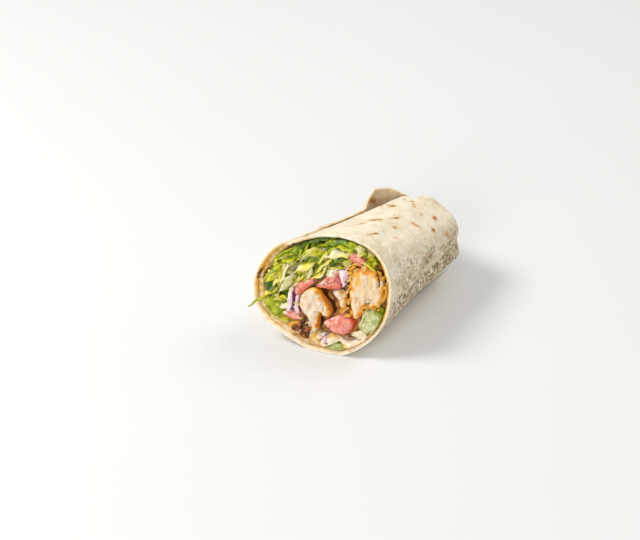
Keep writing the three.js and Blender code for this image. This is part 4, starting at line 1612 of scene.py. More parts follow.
MORSELS = (
    Morsel(
        "chicken_left",
        Food.CHICKEN,
        1.6,
        (
            (-7.6, 33.4), (-5.4, 35.4), (-1.2, 35.2), (2.2, 31.8), (6.2, 28.4), (8.2, 25), (8.6, 22.2),
            (6, 21.6), (3.8, 23.4), (2.6, 22.6), (3.2, 19), (3.8, 14.8), (3.2, 12.4), (1.8, 12.8),
            (0.6, 16), (-2.8, 19.4), (-6.2, 22), (-8.4, 26), (-9, 30),
        ),
        grain=12.0,
        dome=0.6,
        rim_sear=0.22,
        sear=(
            Stroke(((-0.6, 35.6), (2.6, 32.2), (6.4, 29.0), (8.6, 25.2), (9.0, 22.2)), 2.6, 0.9),
            Stroke(((6.2, 21.2), (4.0, 23.0), (2.9, 22.4), (3.4, 19.0), (4.0, 15.0)), 1.5, 0.9),
            Stroke(((-9.0, 26.0), (-6.6, 21.6), (-3.2, 18.8), (0.2, 15.6)), 1.0, 0.5),
            Stroke(((-9.2, 29.6), (-7.8, 33.6), (-5.0, 35.8), (-1.0, 35.6)), 0.7, 0.35),
        ),
        char=(
            Stroke(((5.0, 30.4), (7.8, 27.6), (9.2, 24.6), (9.0, 22.0)), 1.2, 0.5),
            Stroke(((4.0, 22.8), (3.0, 22.2)), 0.9, 0.6),
            Stroke(((2.6, 12.4),), 1.0, 0.5),
        ),
        cracks=(
            ((0.8, 24.0), (1.8, 22.8), (3.0, 22.6)),
            ((-0.4, 34.0), (1.4, 30.6), (4.0, 27.4), (5.0, 24.6)),
        ),
    ),
    Morsel(
        "chicken_right",
        Food.BREAST,
        1.2,
        (
            (14.6, 50.4), (19, 51.4), (24, 51.2), (28.4, 48.8), (31, 43.2), (31.9, 37), (31.4, 32.8),
            (28.4, 30.6), (25.4, 31.6), (23.8, 30.4), (24, 26.6), (22, 23.4), (19.2, 25), (16.8, 30),
            (15, 35), (13.8, 40), (13, 45.6),
        ),
        grain=-14.0,
        dome=1.1,
        sear=(
            Stroke(((13.0, 40.6), (12.8, 45.6), (14.4, 50.6)), 4.4, 1.0),
            Stroke(((17.4, 47.6), (18.2, 43.0)), 1.6, 0.45),
            Stroke(((14.4, 51.0), (19.0, 52.0), (24.0, 51.8), (28.4, 49.0)), 3.2, 0.9),
            Stroke(((13.6, 39.6), (14.8, 35.0), (16.6, 30.0), (19.0, 24.8)), 1.8, 0.8),
            Stroke(((19.2, 24.8), (21.8, 23.2), (24.2, 26.6), (24.0, 30.2)), 2.4, 0.85),
            Stroke(((23.6, 30.2), (25.4, 31.4), (28.4, 30.4), (30.8, 32.6)), 2.6, 1.0),
            Stroke(((31.6, 33.0), (32.1, 37.0), (31.2, 43.4)), 1.8, 0.7),
            Stroke(((22.6, 49.4), (23.4, 46.4), (23.6, 43.0)), 0.8, 0.35),
            Stroke(((17.2, 45.0), (17.4, 40.0)), 0.9, 0.3),
        ),
        char=(
            Stroke(((12.8, 49.0), (12.6, 46.0)), 1.1, 0.7),
            Stroke(((24.6, 33.6), (26.0, 33.8)), 1.2, 0.8),
            Stroke(((13.2, 42.0), (13.4, 39.8)), 0.8, 0.6),
            Stroke(((28.6, 49.0), (30.4, 45.4)), 0.8, 0.6),
            Stroke(((25.6, 51.0), (27.0, 48.4), (28.2, 46.2), (28.8, 43.4)), 0.8, 0.8),
        ),
        cracks=(
            ((25.6, 51.0), (27.0, 48.4), (28.2, 46.2), (28.8, 43.4)),
            ((24.6, 34.8), (26.4, 35.8), (27.2, 34.2)),
            ((19.6, 35.6), (19.9, 32.8)),
        ),
    ),
    Morsel(
        "chicken_seared_edge",
        Food.SEAR,
        -0.4,
        ((10.6, 51.6), (13, 51.8), (13.2, 47), (12.6, 42), (13.6, 37), (11.8, 38.6), (10.8, 45)),
        sear=(Stroke(((11.6, 51.0), (12.4, 46.0)), 3.0, 0.9),),
        char=(Stroke(((11.2, 48.4), (12.0, 43.0), (12.8, 38.4)), 2.0, 0.95),),
        rim_sear=0.3,
    ),
    Morsel(
        "chicken_middle",
        Food.CHICKEN,
        -0.6,
        (
            (5.2, 35), (9, 36.8), (12, 35.6), (13.8, 31), (13.8, 27.4), (12, 26.2), (10.8, 28.2),
            (9.4, 30.8), (7.2, 32),
        ),
        grain=28.0,
        sear=(
            Stroke(((13.2, 32.6), (14.0, 29.0), (12.6, 26.2)), 1.8, 0.8),
            Stroke(((5.4, 34.6), (7.2, 32.0), (9.6, 30.4), (11.0, 27.8)), 0.9, 0.8),
        ),
        char=(Stroke(((5.6, 34.0), (7.4, 32.0)), 1.4, 0.9), Stroke(((9.4, 30.6), (10.6, 28.4)), 0.8, 0.8)),
        cracks=(((9.4, 36.6), (10.6, 33.8), (11.4, 31.6)),),
    ),
    Morsel(
        "chicken_shred_right",
        Food.SEAR,
        0.2,
        ((31.2, 43.8), (32.4, 44.4), (33.2, 40.8), (33, 36.6), (31.8, 33.6), (31.7, 37), (31.6, 40.6)),
        sear=(Stroke(((31.8, 43.6), (32.4, 38.0), (32.0, 34.2)), 1.2, 0.6),),
        char=(Stroke(((31.4, 41.8), (31.7, 37.0)), 0.7, 0.9),),
    ),
    Morsel(
        "chicken_charred_left",
        Food.CHAR,
        -0.8,
        ((-4.6, 17), (-1.6, 15.8), (0.4, 13), (0.2, 10.2), (-2.8, 9.4), (-5.6, 11.2), (-6, 14.4)),
        sear=(Stroke(((-5.0, 16.4), (-2.2, 15.4)), 1.6, 0.7),),
        char=(Stroke(((-4.6, 12.0), (-2.6, 13.4), (-0.4, 11.2)), 2.8, 1.0),),
    ),
    Morsel(
        "chicken_charred_outer",
        Food.SEAR,
        0.2,
        ((-10, 15), (-7.6, 15.2), (-6.6, 13), (-7, 10.8), (-9, 11), (-10.2, 13)),
        sear=(Stroke(((-9.0, 13.0),), 2.2, 0.5),),
        char=(Stroke(((-6.6, 13.0), (-7.2, 10.8)), 1.1, 0.9),),
    ),
    Morsel(
        "tomato_lower",
        Food.TOMATO,
        1.0,
        (
            (5.8, 17.8), (8.6, 20.8), (12, 22.8), (17, 22.8), (20.2, 22.4), (21.2, 19), (19.8, 15.2),
            (16.8, 12.8), (13, 13.2), (9, 15),
        ),
        skin=(Stroke(((18.4, 22.8), (20.8, 21.8), (21.4, 19.0), (20.2, 15.4), (17.4, 12.8)), 1.7, 1.0),),
        sauce=(Stroke(((7.6, 18.2), (11.0, 20.4)), 2.6, 0.6), Stroke(((12.0, 16.6), (16.4, 18.6)), 2.0, 0.3)),
    ),
    Morsel(
        "tomato_upper",
        Food.TOMATO,
        0.4,
        ((8.8, 57.6), (11, 58.8), (15, 57), (19.2, 54), (19.6, 51.8), (15.6, 51.8), (10.8, 53.8)),
        skin=(Stroke(((19.6, 53.4), (18.6, 52.2), (15.6, 52.4), (12.0, 54.2)), 1.8, 0.8),),
        sauce=(Stroke(((10.0, 57.6), (13.4, 56.2)), 1.4, 0.5),),
    ),
    Morsel(
        "tomato_middle",
        Food.TOMATO,
        0.8,
        ((-3.2, 36.6), (-1, 40.6), (1.4, 44), (5.6, 47.6), (6.4, 44), (8.6, 40), (9, 37.6), (5.2, 37)),
        skin=(Stroke(((0.8, 37.2), (4.6, 37.6), (8.4, 38.4)), 2.6, 0.75),),
        sauce=(
            Stroke(((-0.6, 40.2), (2.6, 43.6), (5.4, 46.4)), 2.4, 1.0),
            Stroke(((1.0, 39.2), (6.6, 40.8)), 1.4, 0.8),
        ),
        cracks=(((0.2, 38.6), (3.6, 40.0), (7.6, 41.4)),),
    ),
    Morsel(
        "onion_middle",
        Food.ONION,
        0.4,
        ((6.2, 47.6), (10, 49), (11.8, 45.6), (11.8, 40.6), (10.2, 38.6), (9.4, 40.6), (7.2, 44)),
        grain=10.0,
        skin=(
            Stroke(((6.0, 48.2), (8.4, 49.2), (10.6, 49.2)), 1.2, 1.0),
            Stroke(((11.9, 46.0), (12.0, 41.0), (10.2, 38.4)), 0.7, 0.9),
        ),
        sauce=(Stroke(((8.4, 46.4), (10.0, 42.0)), 1.6, 0.8),),
    ),
    Morsel(
        "tomato_left",
        Food.TOMATO,
        0.2,
        (
            (-14, 33.8), (-12, 37.2), (-9, 40.4), (-5.8, 41), (-5.4, 37.4), (-8.4, 33.6), (-11, 29.6),
            (-13.2, 30.2),
        ),
        skin=(Stroke(((-5.8, 38.4), (-8.6, 34.2), (-11.0, 30.2)), 0.8, 0.6),),
        sauce=(
            Stroke(((-13.4, 32.4), (-12.0, 36.0), (-9.6, 39.6)), 1.6, 0.95),
            Stroke(((-11.0, 31.6),), 1.4, 0.7),
        ),
    ),
    Morsel(
        "tomato_lower_left",
        Food.TOMATO,
        0.6,
        (
            (-16.4, 18.6), (-15, 20.6), (-10.6, 19.8), (-7.4, 17.4), (-7.8, 15.8), (-11.6, 16),
            (-15.6, 17),
        ),
        skin=(Stroke(((-15.6, 17.2), (-11.6, 16.2), (-8.0, 16.0)), 1.0, 0.9),),
        sauce=(Stroke(((-15.4, 20.0), (-10.6, 19.4), (-8.2, 17.8)), 1.3, 0.95),),
    ),
    Morsel(
        "onion_left_outer",
        Food.ONION,
        0.9,
        ((-16.4, 31.4), (-14.4, 31.8), (-13, 27), (-12.2, 20.8), (-14.4, 20.4), (-15.6, 25)),
        grain=-8.0,
        skin=(Stroke(((-14.2, 31.6), (-12.9, 27.0), (-12.2, 21.2)), 0.6, 0.8),),
        sauce=(Stroke(((-15.8, 29.0), (-14.6, 23.0)), 1.3, 0.6),),
    ),
    Morsel(
        "onion_left_inner",
        Food.ONION,
        0.4,
        ((-12.6, 29.4), (-10.6, 28.8), (-9.8, 24), (-8, 20.6), (-9.8, 19.6), (-11.4, 21.6), (-12, 25)),
        grain=-8.0,
        skin=(Stroke(((-10.4, 28.8), (-9.6, 24.2), (-8.0, 20.8)), 0.5, 0.7),),
        sauce=(Stroke(((-11.4, 27.0), (-10.2, 22.0)), 0.9, 0.5),),
    ),
    Morsel(
        "onion_bottom",
        Food.ONION,
        0.8,
        ((6.6, 6.4), (7.6, 9.2), (8.6, 10.2), (10, 9), (11.2, 6.8), (9, 6)),
        skin=(Stroke(((6.6, 6.6), (7.6, 9.2)), 0.6, 0.8), Stroke(((10.2, 8.8), (11.2, 6.8)), 0.6, 0.7)),
        in_bread=True,
    ),
    Morsel(
        "cucumber_right",
        Food.CUCUMBER,
        0.9,
        (
            (24.4, 28.4), (26.6, 30), (30, 29.8), (33.4, 28.6), (35, 25), (34.2, 20.4), (31.6, 17.4),
            (28, 16), (25.4, 17.6), (23.6, 20), (24.4, 24),
        ),
        skin=(
            Stroke(((31.0, 29.8), (33.8, 28.4), (35.3, 25.0), (34.4, 20.2), (31.6, 17.0)), 2.6, 0.8),
            Stroke(((32.6, 18.0), (28.4, 15.7), (25.4, 17.0)), 1.3, 1.0),
        ),
        cracks=(((26.6, 26.6), (25.9, 24.2), (25.7, 21.8)),),
    ),
    Morsel(
        "cucumber_bottom",
        Food.CUCUMBER,
        0.3,
        ((9.4, 3.4), (12, 6.4), (15.6, 8), (18.6, 7.6), (20.4, 4.6), (19.6, 3.4), (14, 2.9)),
        skin=(
            Stroke(((10.0, 4.4), (12.6, 6.8), (15.8, 8.1), (18.8, 7.6), (20.6, 4.8)), 1.0, 1.0),
            Stroke(((12.0, 4.8), (17.0, 5.4)), 2.6, 0.45),
        ),
        in_bread=True,
    ),
    Morsel(
        "cucumber_upper",
        Food.CUCUMBER,
        0.3,
        ((17.4, 63.2), (20.4, 63.2), (23.6, 60.4), (25.6, 57.4), (25, 56.4), (21.4, 58), (18.2, 60.6)),
        skin=(Stroke(((18.0, 60.8), (21.4, 57.9), (25.0, 56.3), (25.6, 57.6), (23.6, 60.6)), 0.8, 1.0),),
    ),
)


# ---- The lettuce --------------------------------------------------------------------------


@dataclass(frozen=True)
class Shred:
    """A strip of leaf at the cut: its middle line's ends in the section, its width and its tone.

    One long side stands proud of the cut and the other lies deep behind it; side says which.
    """

    x1: float
    z1: float
    x2: float
    z2: float
    width: float
    tone: float
    proud: float = 1.3
    deep: float = 3.6
    thick: float = 1.1
    side: int = 1


PLACED = (
    Shred(-0.5, 56, 9, 57.5, 4.2, 0.02),
    Shred(-10.5, 53, -7, 57.5, 5.1, 0.22, side=-1),
    Shred(-15, 45.5, -7.5, 49.5, 3.8, 0.2),
    Shred(-22, 36, -21, 46, 3.6, 0.04),
    Shred(-19, 31, -17, 40, 2.9, 0.05, side=-1),
    Shred(-6, 41, -0.5, 48.5, 2.4, 0.2),
    Shred(-5, 45.5, 1, 53.5, 2.6, 0.26),
    Shred(1.5, 50, 8.5, 54.5, 2.7, 0.8, side=-1),
    Shred(-14, 54, -13, 59.5, 2.8, 0.52),
    Shred(-12.5, 61, -4, 64.5, 3.4, 0.95),
    Shred(-1.5, 62.5, 7, 65.5, 3.5, 0.82),
    Shred(7.5, 65, 11.5, 61.5, 3.6, 0.62),
    Shred(3, 61, 10.5, 59.5, 2.3, 0.42),
    Shred(12.5, 63, 16.5, 58.5, 2.2, 0.08),
    Shred(-16, 49, -16, 55.5, 1.9, 0.6),
    Shred(-18, 55, -14.5, 59.5, 2.5, 0.88),
    Shred(-28, 41, -24, 43, 2.9, 0.68),
    Shred(-28.5, 34.5, -24, 31, 3.4, 0.9),
    Shred(-26, 34, -22.5, 40, 2.9, 0.25),
    Shred(-28.5, 28, -25, 29.5, 2.6, 0.22),
    Shred(-26, 26, -18, 18.5, 4.4, 0.62),
    Shred(-26.5, 20.5, -21.5, 16.5, 2.3, 0.45),
    Shred(-20.5, 15.5, -13, 14, 2.5, 0.3),
    Shred(-28, 24.5, -25.5, 21.5, 2.0, 0.1),
    Shred(-23.5, 48, -18, 49.5, 2.6, 0.6),
    Shred(-18, 28, -16.5, 31, 2.5, 0.97, -0.4),
)


@dataclass
class Lettuce:
    """The heap of shredded lettuce: a core that runs through the wrap and the shreds at its cut."""

    count: int = 150
    seed: int = 20817
    recess: float = 4.6
    core_back: float = 0.9
    core_voxel: float = 0.75
    steps: int = 12
    tones: tuple[float, ...] = (0.0, 0.04, 0.14, 0.28, 0.4, 0.52, 0.62, 0.72)

    def core(self) -> bpy.types.Object:
        """The heap's body, a little behind the cut, green on the left and saucy round the meat, darkened by
        painted shade.

        Returns:
            The core.
        """
        degrees = np.linspace(0.0, 360.0, 90, endpoint=False)
        line = np.column_stack(ROLL.on_ray(degrees, ROLL.cavity(degrees, 0.0) - 0.5))
        core = prism("lettuce_core", line, self.recess, FAR, 0.6)
        modify(core, "REMESH", mode="VOXEL", voxel_size=self.core_voxel)
        flat = corners(core)
        x, z, depth = flat.T
        near = 1.0 - smooth(self.recess + 0.6, self.recess + 2.4, depth)
        lumps = 1.1 * fuzz(flat * (1, 1, 0), 3.4, 51, 3)
        right = x + 0.3 * (ROLL.centre - z) + 6.0 - 10.0 * smooth(50.0, 58.0, z)
        meaty = smooth(-3.0, 3.0, right)
        place = ROLL.behind(x, z, depth - near * lumps, self.core_back)
        move_corners(core, (place + SHIFT) * MM)
        mark(core, "tone", np.clip(0.6 + 0.25 * fuzz(flat, 6.0, 53), 0.0, 1.0))
        mark(core, "meaty", np.clip(meaty, 0.0, 1.0))
        mark(core, "shadow", np.where(meaty > 0.5, 0.4, 0.85))
        face_out(core)
        return core

    def blank(self, along: int, across: int) -> bpy.types.Object:
        """A flat strip, 1 long, 1 wide and 1 thick, that shreds are made of.

        Args:
            along: its steps along its length.
            across: its steps across its width.

        Returns:
            The strip.
        """
        bpy.ops.object.select_all(action="DESELECT")
        bpy.ops.mesh.primitive_grid_add(x_subdivisions=along, y_subdivisions=across, size=1.0)
        strip = bpy.context.object
        move_corners(strip, corners(strip) + (0.5, 0.5, 1.0))
        modify(strip, "SOLIDIFY", thickness=1.0, offset=-1.0)
        return strip

    def lay(self, blank: bpy.types.Object, shred: Shred, draw: random.Random) -> bpy.types.Object:
        """One shred: a copy of the blank, bent, ruffled and narrowed, rooted in the heap.

        Args:
            blank: the strip that it is a copy of.
            shred: its place, size and tone.
            draw: the seeded source of its accidents.

        Returns:
            The shred.
        """
        strip = bpy.data.objects.new("shred", blank.data.copy())
        bpy.context.scene.collection.objects.link(strip)
        u, v, w = corners(strip).T
        length = math.hypot(shred.x2 - shred.x1, shred.z2 - shred.z1)
        ax, az = (shred.x2 - shred.x1) / length, (shred.z2 - shred.z1) / length
        own = draw.uniform(0.0, 90.0)
        ruff = np.column_stack((u * length + own, v * shred.width, w * 0.3))
        narrow = 1.0 - draw.uniform(0.05, 0.5) * np.abs(2.0 * u - 1.0) ** 3
        arc = draw.uniform(-0.09, 0.09) * length * (1.0 - (2.0 * u - 1.0) ** 2)
        ruffle = draw.uniform(0.15, 0.5) * np.sin(draw.uniform(0, 6.3) + draw.uniform(4.0, 11.0) * u)
        off = shred.side * (v - 0.5) * shred.width * narrow + arc + ruffle * (1.0 - 0.6 * v)
        off = off + 0.5 * fuzz(ruff, 2.0, 55)
        crest = 0.45 * np.sin(draw.uniform(0, 6.3) + draw.uniform(3.0, 8.0) * u)
        crest = crest + 0.7 * fuzz(ruff, 2.6, 57)
        thick = shred.thick * (1.0 - 0.25 * np.abs(2.0 * v - 1.0))
        depth = mix(-shred.proud, shred.deep, v) + crest - shred.side * (w - 0.5) * thick * 0.8
        off = off + (w - 0.5) * thick * 0.75
        torn = fuzz(ruff * (0.0, 1.0, 1.0) + (own, 0.0, 0.0), 1.4, 59) * np.abs(2.0 * u - 1.0)
        u = u + 0.5 / length * torn
        x = mix(shred.x1, shred.x2, u) - off * az
        z = mix(shred.z1, shred.z2, u) + off * ax
        # Kept inside the bread.
        angle = np.degrees(np.arctan2(z - ROLL.centre, x))
        room = ROLL.cavity(angle, 0.0) - 0.7
        radius = np.hypot(x, z - ROLL.centre)
        held = np.minimum(1.0, room / np.maximum(radius, 1e-6))
        x, z = x * held, ROLL.centre + (z - ROLL.centre) * held
        place = ROLL.behind(x, z, np.minimum(depth, NEAR - 0.2))
        move_corners(strip, (place + SHIFT) * MM)
        tone = shred.tone + draw.uniform(-0.12, 0.16) * u + draw.uniform(-0.1, 0.3) * (v - 0.4)
        tone = tone + 0.1 * fuzz(ruff, 2.2, 58)
        mark(strip, "tone", np.clip(tone, 0.0, 1.0))
        mark(strip, "meaty", np.zeros(len(u)))
        mark(strip, "shadow", np.clip(0.85 * smooth(0.6, 4.0, depth), 0.0, 1.0))
        return strip

    def drawn(self, outlines: list[np.ndarray], draw: random.Random) -> list[Shred]:
        """Seeded random shreds that fill the heap between the placed ones, and lie behind those.

        Args:
            outlines: outlines of the other filling, which they keep clear of.
            draw: the seeded source of their places.

        Returns:
            The shreds.
        """
        made: list[Shred] = []
        lines = [np.array(((shred.x1, shred.z1), (shred.x2, shred.z2))) for shred in PLACED]
        while len(made) < self.count:
            degrees = draw.uniform(-12.0, 242.0)
            share = math.sqrt(draw.uniform(0.34**2, 0.95**2))
            x, z = ROLL.on_ray(degrees, float(ROLL.cavity(np.array(degrees), 0.0)) * share)
            if any(inside(np.array(((x, z),)), line)[0] for line in outlines):
                continue
            if degrees < 60.0 and share < 0.8:
                continue
            along_rim = share > 0.8
            turn = math.radians(draw.gauss(degrees + 90.0, 16.0) if along_rim else draw.gauss(50.0, 30.0))
            half = draw.uniform(2.0, 4.6)
            top = float(bump(90.0, 45.0, np.array(degrees)) * (share > 0.75))
            leafy = max(0.0, share - 0.8) * 1.3 + 0.25 * top
            tone = draw.choice(self.tones) + leafy
            crowd = min(distance_to(np.array(((x, z),)), line, False)[0] for line in lines)
            made.append(
                Shred(
                    x1=x - half * math.cos(turn),
                    z1=z - half * math.sin(turn),
                    x2=x + half * math.cos(turn),
                    z2=z + half * math.sin(turn),
                    width=draw.uniform(2.4, 5.6),
                    tone=min(tone, 0.92),
                    proud=draw.uniform(-2.4, 0.9) - (1.8 if crowd < 2.4 else 0.0),
                    deep=draw.uniform(2.6, 5.4),
                    thick=draw.uniform(0.5, 1.1),
                    side=draw.choice((-1, 1)),
                )
            )
        return made

    def stray(self) -> bpy.types.Object:
        """The shred that hangs out over the rim on the left.

        Returns:
            The shred.
        """
        path = smoothed(((-27, 27.4), (-28.8, 25.2), (-31.6, 22.4), (-34, 19.4)), 0.9, False)
        strip = self.blank(len(path) - 1, 2)
        u, v, w = corners(strip).T
        at = u * (len(path) - 1)
        x = np.interp(at, np.arange(len(path)), path[:, 0])
        z = np.interp(at, np.arange(len(path)), path[:, 1])
        ahead = np.interp(u, (0.0, 0.3, 0.65, 1.0), (-5.0, 1.1, 1.2, 1.4))
        narrow = 1.0 - 0.5 * smooth(0.7, 1.0, u)
        off = (v - 0.5) * 1.3 * narrow / math.sqrt(2.0) + 0.25 * np.sin(9.0 * u)
        place = ROLL.place(x + off, z - off, np.zeros(len(u)), ahead + (w - 0.5) * 0.8)
        move_corners(strip, (place + SHIFT) * MM)
        mark(strip, "tone", 0.4 + 0.35 * u)
        mark(strip, "meaty", np.zeros(len(u)))
        mark(strip, "shadow", np.zeros(len(u)))
        return strip

    def build(self, outlines: list[np.ndarray]) -> bpy.types.Object:
        """Builds and dresses the heap; it stands for the part's lettuce.

        Args:
            outlines: outlines of the other filling.

        Returns:
            The heap.
        """
        draw = random.Random(self.seed)
        blank = self.blank(self.steps, 4)
        strips = [self.lay(blank, shred, draw) for shred in (*PLACED, *self.drawn(outlines, draw))]
        bpy.data.objects.remove(blank)
        heap = joined([self.core(), self.stray(), *strips], "lettuce_looks")
        face_out(heap)
        dress(heap, LettuceFinish().build())
        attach(heap, "root")
        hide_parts("lettuce")
        return heap


# ---- Sauce and scraps ---------------------------------------------------------------------


@dataclass
class Scatter:
    """Small soft lumps laid on the cut: sauce smears, or scraps of spiced meat.

    Lumps are x, z, how far they stand out, width, height and turn in degrees. Each is made of
    parts scattered round its place.
    """

    name: str
    slot: str
    lumps: tuple[tuple[float, float, float, float, float, float], ...]
    thick: float = 1.0
    rough: float = 0.3
    ragged: float = 0.0
    parts: int = 1
    burnt_share: float = 0.06

    def one(
        self, blank: bpy.types.Object, lump: tuple, index: int, draw: random.Random
    ) -> bpy.types.Object:
        """One lump: a copy of the blank, pulled out of shape and laid on the cut.

        Args:
            blank: a ball that every lump is a copy of.
            lump: its numbers, as the class has them.
            index: its number among the lumps.
            draw: the seeded source of its accidents.

        Returns:
            The lump.
        """
        x, z, proud, wide, high, turn = lump
        if self.parts > 1:
            x, z = x + draw.gauss(0.0, 0.3 * wide), z + draw.gauss(0.0, 0.3 * wide)
            wide, high = wide * draw.uniform(0.55, 1.2), high * draw.uniform(0.5, 1.0)
            turn += draw.gauss(0.0, 30.0)
            proud += draw.uniform(-0.9, 0.1)
        piece = bpy.data.objects.new("lump", blank.data.copy())
        bpy.context.scene.collection.objects.link(piece)
        ball = corners(piece)
        own = ball * 3.0 + 11.0 * index
        ball *= 1.0 + self.rough * fuzz(own, 2.2, 61)[:, None]
        cos, sin = math.cos(math.radians(turn)), math.sin(math.radians(turn))
        u = ball[:, 0] * wide / 2.0
        v = ball[:, 1] * high / 2.0 + self.ragged * fuzz(own * (1.0, 0.3, 0.3), 2.0, 63)
        ahead = proud + ball[:, 2] * self.thick / 2.0 + self.ragged * fuzz(own, 2.4, 65)
        place = ROLL.place(x + u * cos - v * sin, z + u * sin + v * cos, np.zeros(len(ball)), ahead)
        move_corners(piece, (place + SHIFT) * MM)
        burnt = draw.random() < self.burnt_share
        for name, value in (("sear", draw.uniform(0.1, 0.6)), ("char", 0.6 if burnt else 0.0)):
            mark(piece, name, np.full(len(ball), value))
        return piece

    def build(self, material: bpy.types.Material) -> bpy.types.Object:
        """Builds all the lumps as one piece.

        Args:
            material: their finish.

        Returns:
            The piece.
        """
        draw = random.Random(len(self.lumps) * 7)
        bpy.ops.object.select_all(action="DESELECT")
        bpy.ops.mesh.primitive_ico_sphere_add(subdivisions=3, radius=1.0)
        blank = bpy.context.object
        lumps = [lump for lump in self.lumps for _ in range(self.parts)]
        made = [self.one(blank, lump, index, draw) for index, lump in enumerate(lumps)]
        bpy.data.objects.remove(blank)
        piece = joined(made, self.name)
        face_out(piece)
        dress(piece, material)
        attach(piece, "root")
        return piece


# Lumps of sauce and of browned meat, as Scatter has them.
CREAM = (
    (25.6, 14.6, -0.6, 8.6, 4.6, -20.0),
    (-14.6, 33.4, 1.1, 2.6, 1.6, 60.0),
    (-14.2, 20.0, 1.4, 3.0, 1.2, -10.0),
    (-12.9, 36.4, 0.6, 2.2, 1.0, 50.0),
    (1.0, 41.0, 1.3, 2.6, 0.9, 50.0),
    (4.2, 45.4, 1.2, 2.4, 1.0, 42.0),
    (-0.8, 54.6, 1.0, 3.0, 1.2, 10.0),
)

CHARRED = (
    (-6.0, 11.6, 1.2, 3.4, 2.4, -30.0),
    (-4.4, 13.6, 1.5, 3.8, 2.8, 20.0),
    (-2.6, 10.6, 1.5, 3.6, 2.4, -30.0),
    (-0.4, 9.3, 1.2, 3.0, 1.8, -10.0),
    (-1.4, 12.8, 1.2, 3.0, 2.2, 40.0),
    (-3.8, 16.0, 0.8, 3.0, 2.0, 10.0),
)

SCRAPS = (
    (-9.6, 13.0, 1.0, 3.2, 2.2, -20.0),
    (-7.6, 12.4, 1.3, 3.4, 2.4, -30.0),
    (-8.4, 14.8, 0.9, 3.0, 2.0, 10.0),
    (-5.4, 9.8, 1.2, 2.8, 1.8, 0.0),
    (15.0, 47.6, 0.9, 3.2, 2.0, 80.0),
    (14.2, 44.2, 0.8, 3.0, 2.0, 80.0),
    (15.2, 41.0, 0.8, 2.8, 1.8, 70.0),
    (13.2, 49.8, 0.4, 3.2, 2.2, 60.0),
    (12.2, 46.8, 0.0, 3.4, 2.2, 85.0),
    (19.2, 26.4, 1.2, 2.6, 1.6, 60.0),
    (31.2, 35.4, 0.5, 2.6, 1.2, 85.0),
    (31.2, 40.0, 0.4, 2.6, 1.1, 95.0),
    (14.2, 36.8, 0.2, 3.0, 1.6, 70.0),
    (16.0, 33.4, 0.6, 3.2, 1.2, 60.0),
    (14.9, 28.6, -0.6, 2.6, 1.6, 80.0),
    (15.6, 25.0, -0.8, 3.4, 1.4, 20.0),
    (18.0, 24.0, 0.0, 2.8, 1.2, -30.0),
    (12.4, 25.0, -1.6, 2.4, 1.6, 10.0),
    (14.4, 52.2, 0.2, 3.0, 1.8, 20.0),
    (17.8, 52.4, 0.2, 2.6, 1.2, -10.0),
    (21.6, 52.8, 0.0, 3.2, 1.2, -12.0),
    (25.6, 51.4, 0.2, 2.6, 1.0, -40.0),
    (29.4, 48.2, 0.0, 3.0, 1.2, -60.0),
    (31.4, 44.6, 0.0, 2.4, 1.0, -70.0),
    (26.6, 31.4, 1.2, 3.0, 1.2, 5.0),
    (29.4, 31.2, 1.0, 2.6, 1.3, 12.0),
    (31.6, 33.0, 0.6, 2.6, 1.2, 50.0),
    (23.8, 28.6, 0.8, 2.4, 1.0, 80.0),
    (31.4, 31.2, 0.0, 2.2, 1.2, 60.0),
    (-6.2, 16.4, 0.0, 2.4, 1.3, 20.0),
    (-8.8, 10.8, 0.0, 2.0, 1.2, -20.0),
    (-2.4, 8.0, -0.2, 3.0, 1.2, -12.0),
    (2.4, 10.4, -0.2, 2.2, 1.0, 10.0),
    (10.2, 36.0, 0.2, 2.6, 1.2, -30.0),
    (11.0, 51.0, 0.0, 2.0, 1.4, 60.0),
    (13.0, 43.8, 0.4, 2.4, 1.0, 80.0),
    (13.4, 40.6, 0.2, 2.4, 0.9, 86.0),
)


# ---- The picture --------------------------------------------------------------------------


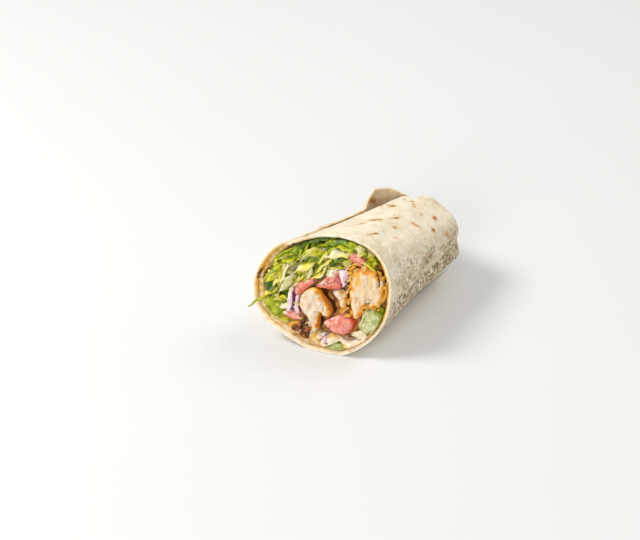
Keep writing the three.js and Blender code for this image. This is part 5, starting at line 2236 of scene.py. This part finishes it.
@dataclass(frozen=True)
class Picture:
    """The photograph's view of the wrap, with soft studio light on a pale floor.

    Distance and target are in mm. A lamp is its name, its place and width in metres, and its
    power in watts. The floor lies just below the part, so that the two never share a plane.
    """

    azimuth: float = 42.0
    elevation: float = 38.0
    distance: float = 900.0
    lens: float = 91.33
    sensor: float = 36.0
    target: tuple[float, float, float] = (-3.406, -35.449, 45.5)
    world: float = 0.42
    lamps: tuple = (
        ("key_light", (-0.7, -0.5, 1.05), 0.45, 10.8),
        ("front_light", (0.4, -1.1, 0.6), 0.7, 5.6),
        ("back_light", (0.3, 1.0, 1.1), 0.6, 5.0),
    )
    floor_size: float = 12.0
    floor_drop: float = 0.0002

    def camera(self) -> None:
        """Sets up the camera as the photograph has it."""
        turn, tilt = math.radians(self.azimuth), math.radians(self.elevation)
        back = Vector((math.sin(turn) * math.cos(tilt), -math.cos(turn) * math.cos(tilt), math.sin(tilt)))
        bpy.ops.object.camera_add(location=(Vector(self.target) + back * self.distance) * MM)
        camera = bpy.context.object
        camera.rotation_euler = back.to_track_quat("Z", "Y").to_euler()
        camera.data.lens = self.lens
        camera.data.sensor_width = self.sensor
        camera.data.clip_start = 0.01
        camera.data.clip_end = 20.0
        bpy.context.scene.camera = camera

    def lamp(self, name: str, place: tuple[float, float, float], size: float, power: float) -> None:
        """A square soft light that faces the wrap.

        Args:
            name: its name.
            place: where it stands, in metres.
            size: its width, in metres.
            power: its power, in watts.
        """
        bpy.ops.object.light_add(type="AREA", location=place)
        lamp = bpy.context.object
        lamp.name = name
        lamp.data.size = size
        lamp.data.energy = power
        lamp.rotation_euler = Vector(place).to_track_quat("Z", "Y").to_euler()

    def build(self) -> None:
        """Sets up camera, lights, surroundings and floor."""
        self.camera()
        for name, place, size, power in self.lamps:
            self.lamp(name, place, size, power)
        world = bpy.data.worlds.new("studio")
        world.use_nodes = True
        background = world.node_tree.nodes["Background"]
        background.inputs["Color"].default_value = grey(1.0)
        background.inputs["Strength"].default_value = self.world
        bpy.context.scene.world = world
        bpy.context.scene.view_settings.view_transform = "Standard"
        place = (0.0, 0.0, -self.floor_drop)
        bpy.ops.mesh.primitive_plane_add(size=self.floor_size, location=place)
        floor = bpy.context.object
        floor.name = floor.data.name = "floor"
        floor.data.materials.append(floor_material())


def main() -> None:
    """Builds the wrap piece by piece, and the picture of it."""
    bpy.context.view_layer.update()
    outlines = [morsel.line() for morsel in MORSELS]
    pockets = [morsel.line(0.25) for morsel in MORSELS if morsel.in_bread]
    bread = Flatbread().build(pockets)
    log.info("bread: %d faces", len(bread.data.polygons))
    finishes = {
        Food.CHICKEN: ChickenFinish().build(),
        Food.BREAST: ChickenFinish("breast_chicken", "f0d6b0", "dfae72", -14.0, base_heat=0.1).build(),
        Food.SEAR: ChickenFinish("seared_chicken", "f6c86e", "e8a83c", 5.0, base_heat=0.25).build(),
        Food.CHAR: ChickenFinish("charred_chicken", "b0702c", "7a3c12", 40.0, base_heat=1.5).build(),
        Food.TOMATO: TomatoFinish().build(),
        Food.ONION: OnionFinish().build(),
        Food.CUCUMBER: CucumberFinish().build(),
    }
    for morsel in MORSELS:
        piece = morsel.build(finishes[morsel.food])
        log.info("%s: %d faces", morsel.node, len(piece.data.polygons))
    heap = Lettuce().build(outlines)
    log.info("lettuce: %d faces", len(heap.data.polygons))
    sauce = SauceFinish("cream_sauce", "f5e4c0", "e4c692").build()
    for scatter, material in (
        (Scatter("cream_sauce", "tomato", CREAM, thick=1.2, rough=0.35), sauce),
        (
            Scatter("chicken_scraps", "sear", SCRAPS, thick=1.6, rough=0.5, ragged=0.5, parts=2),
            finishes[Food.SEAR],
        ),
        (
            Scatter("charred_scraps", "char", CHARRED, thick=1.5, rough=0.5, ragged=0.4, parts=3),
            finishes[Food.CHAR],
        ),
    ):
        piece = scatter.build(material)
        log.info("%s: %d faces", scatter.name, len(piece.data.polygons))
    Picture().build()


if __name__ == "__main__":
    main()
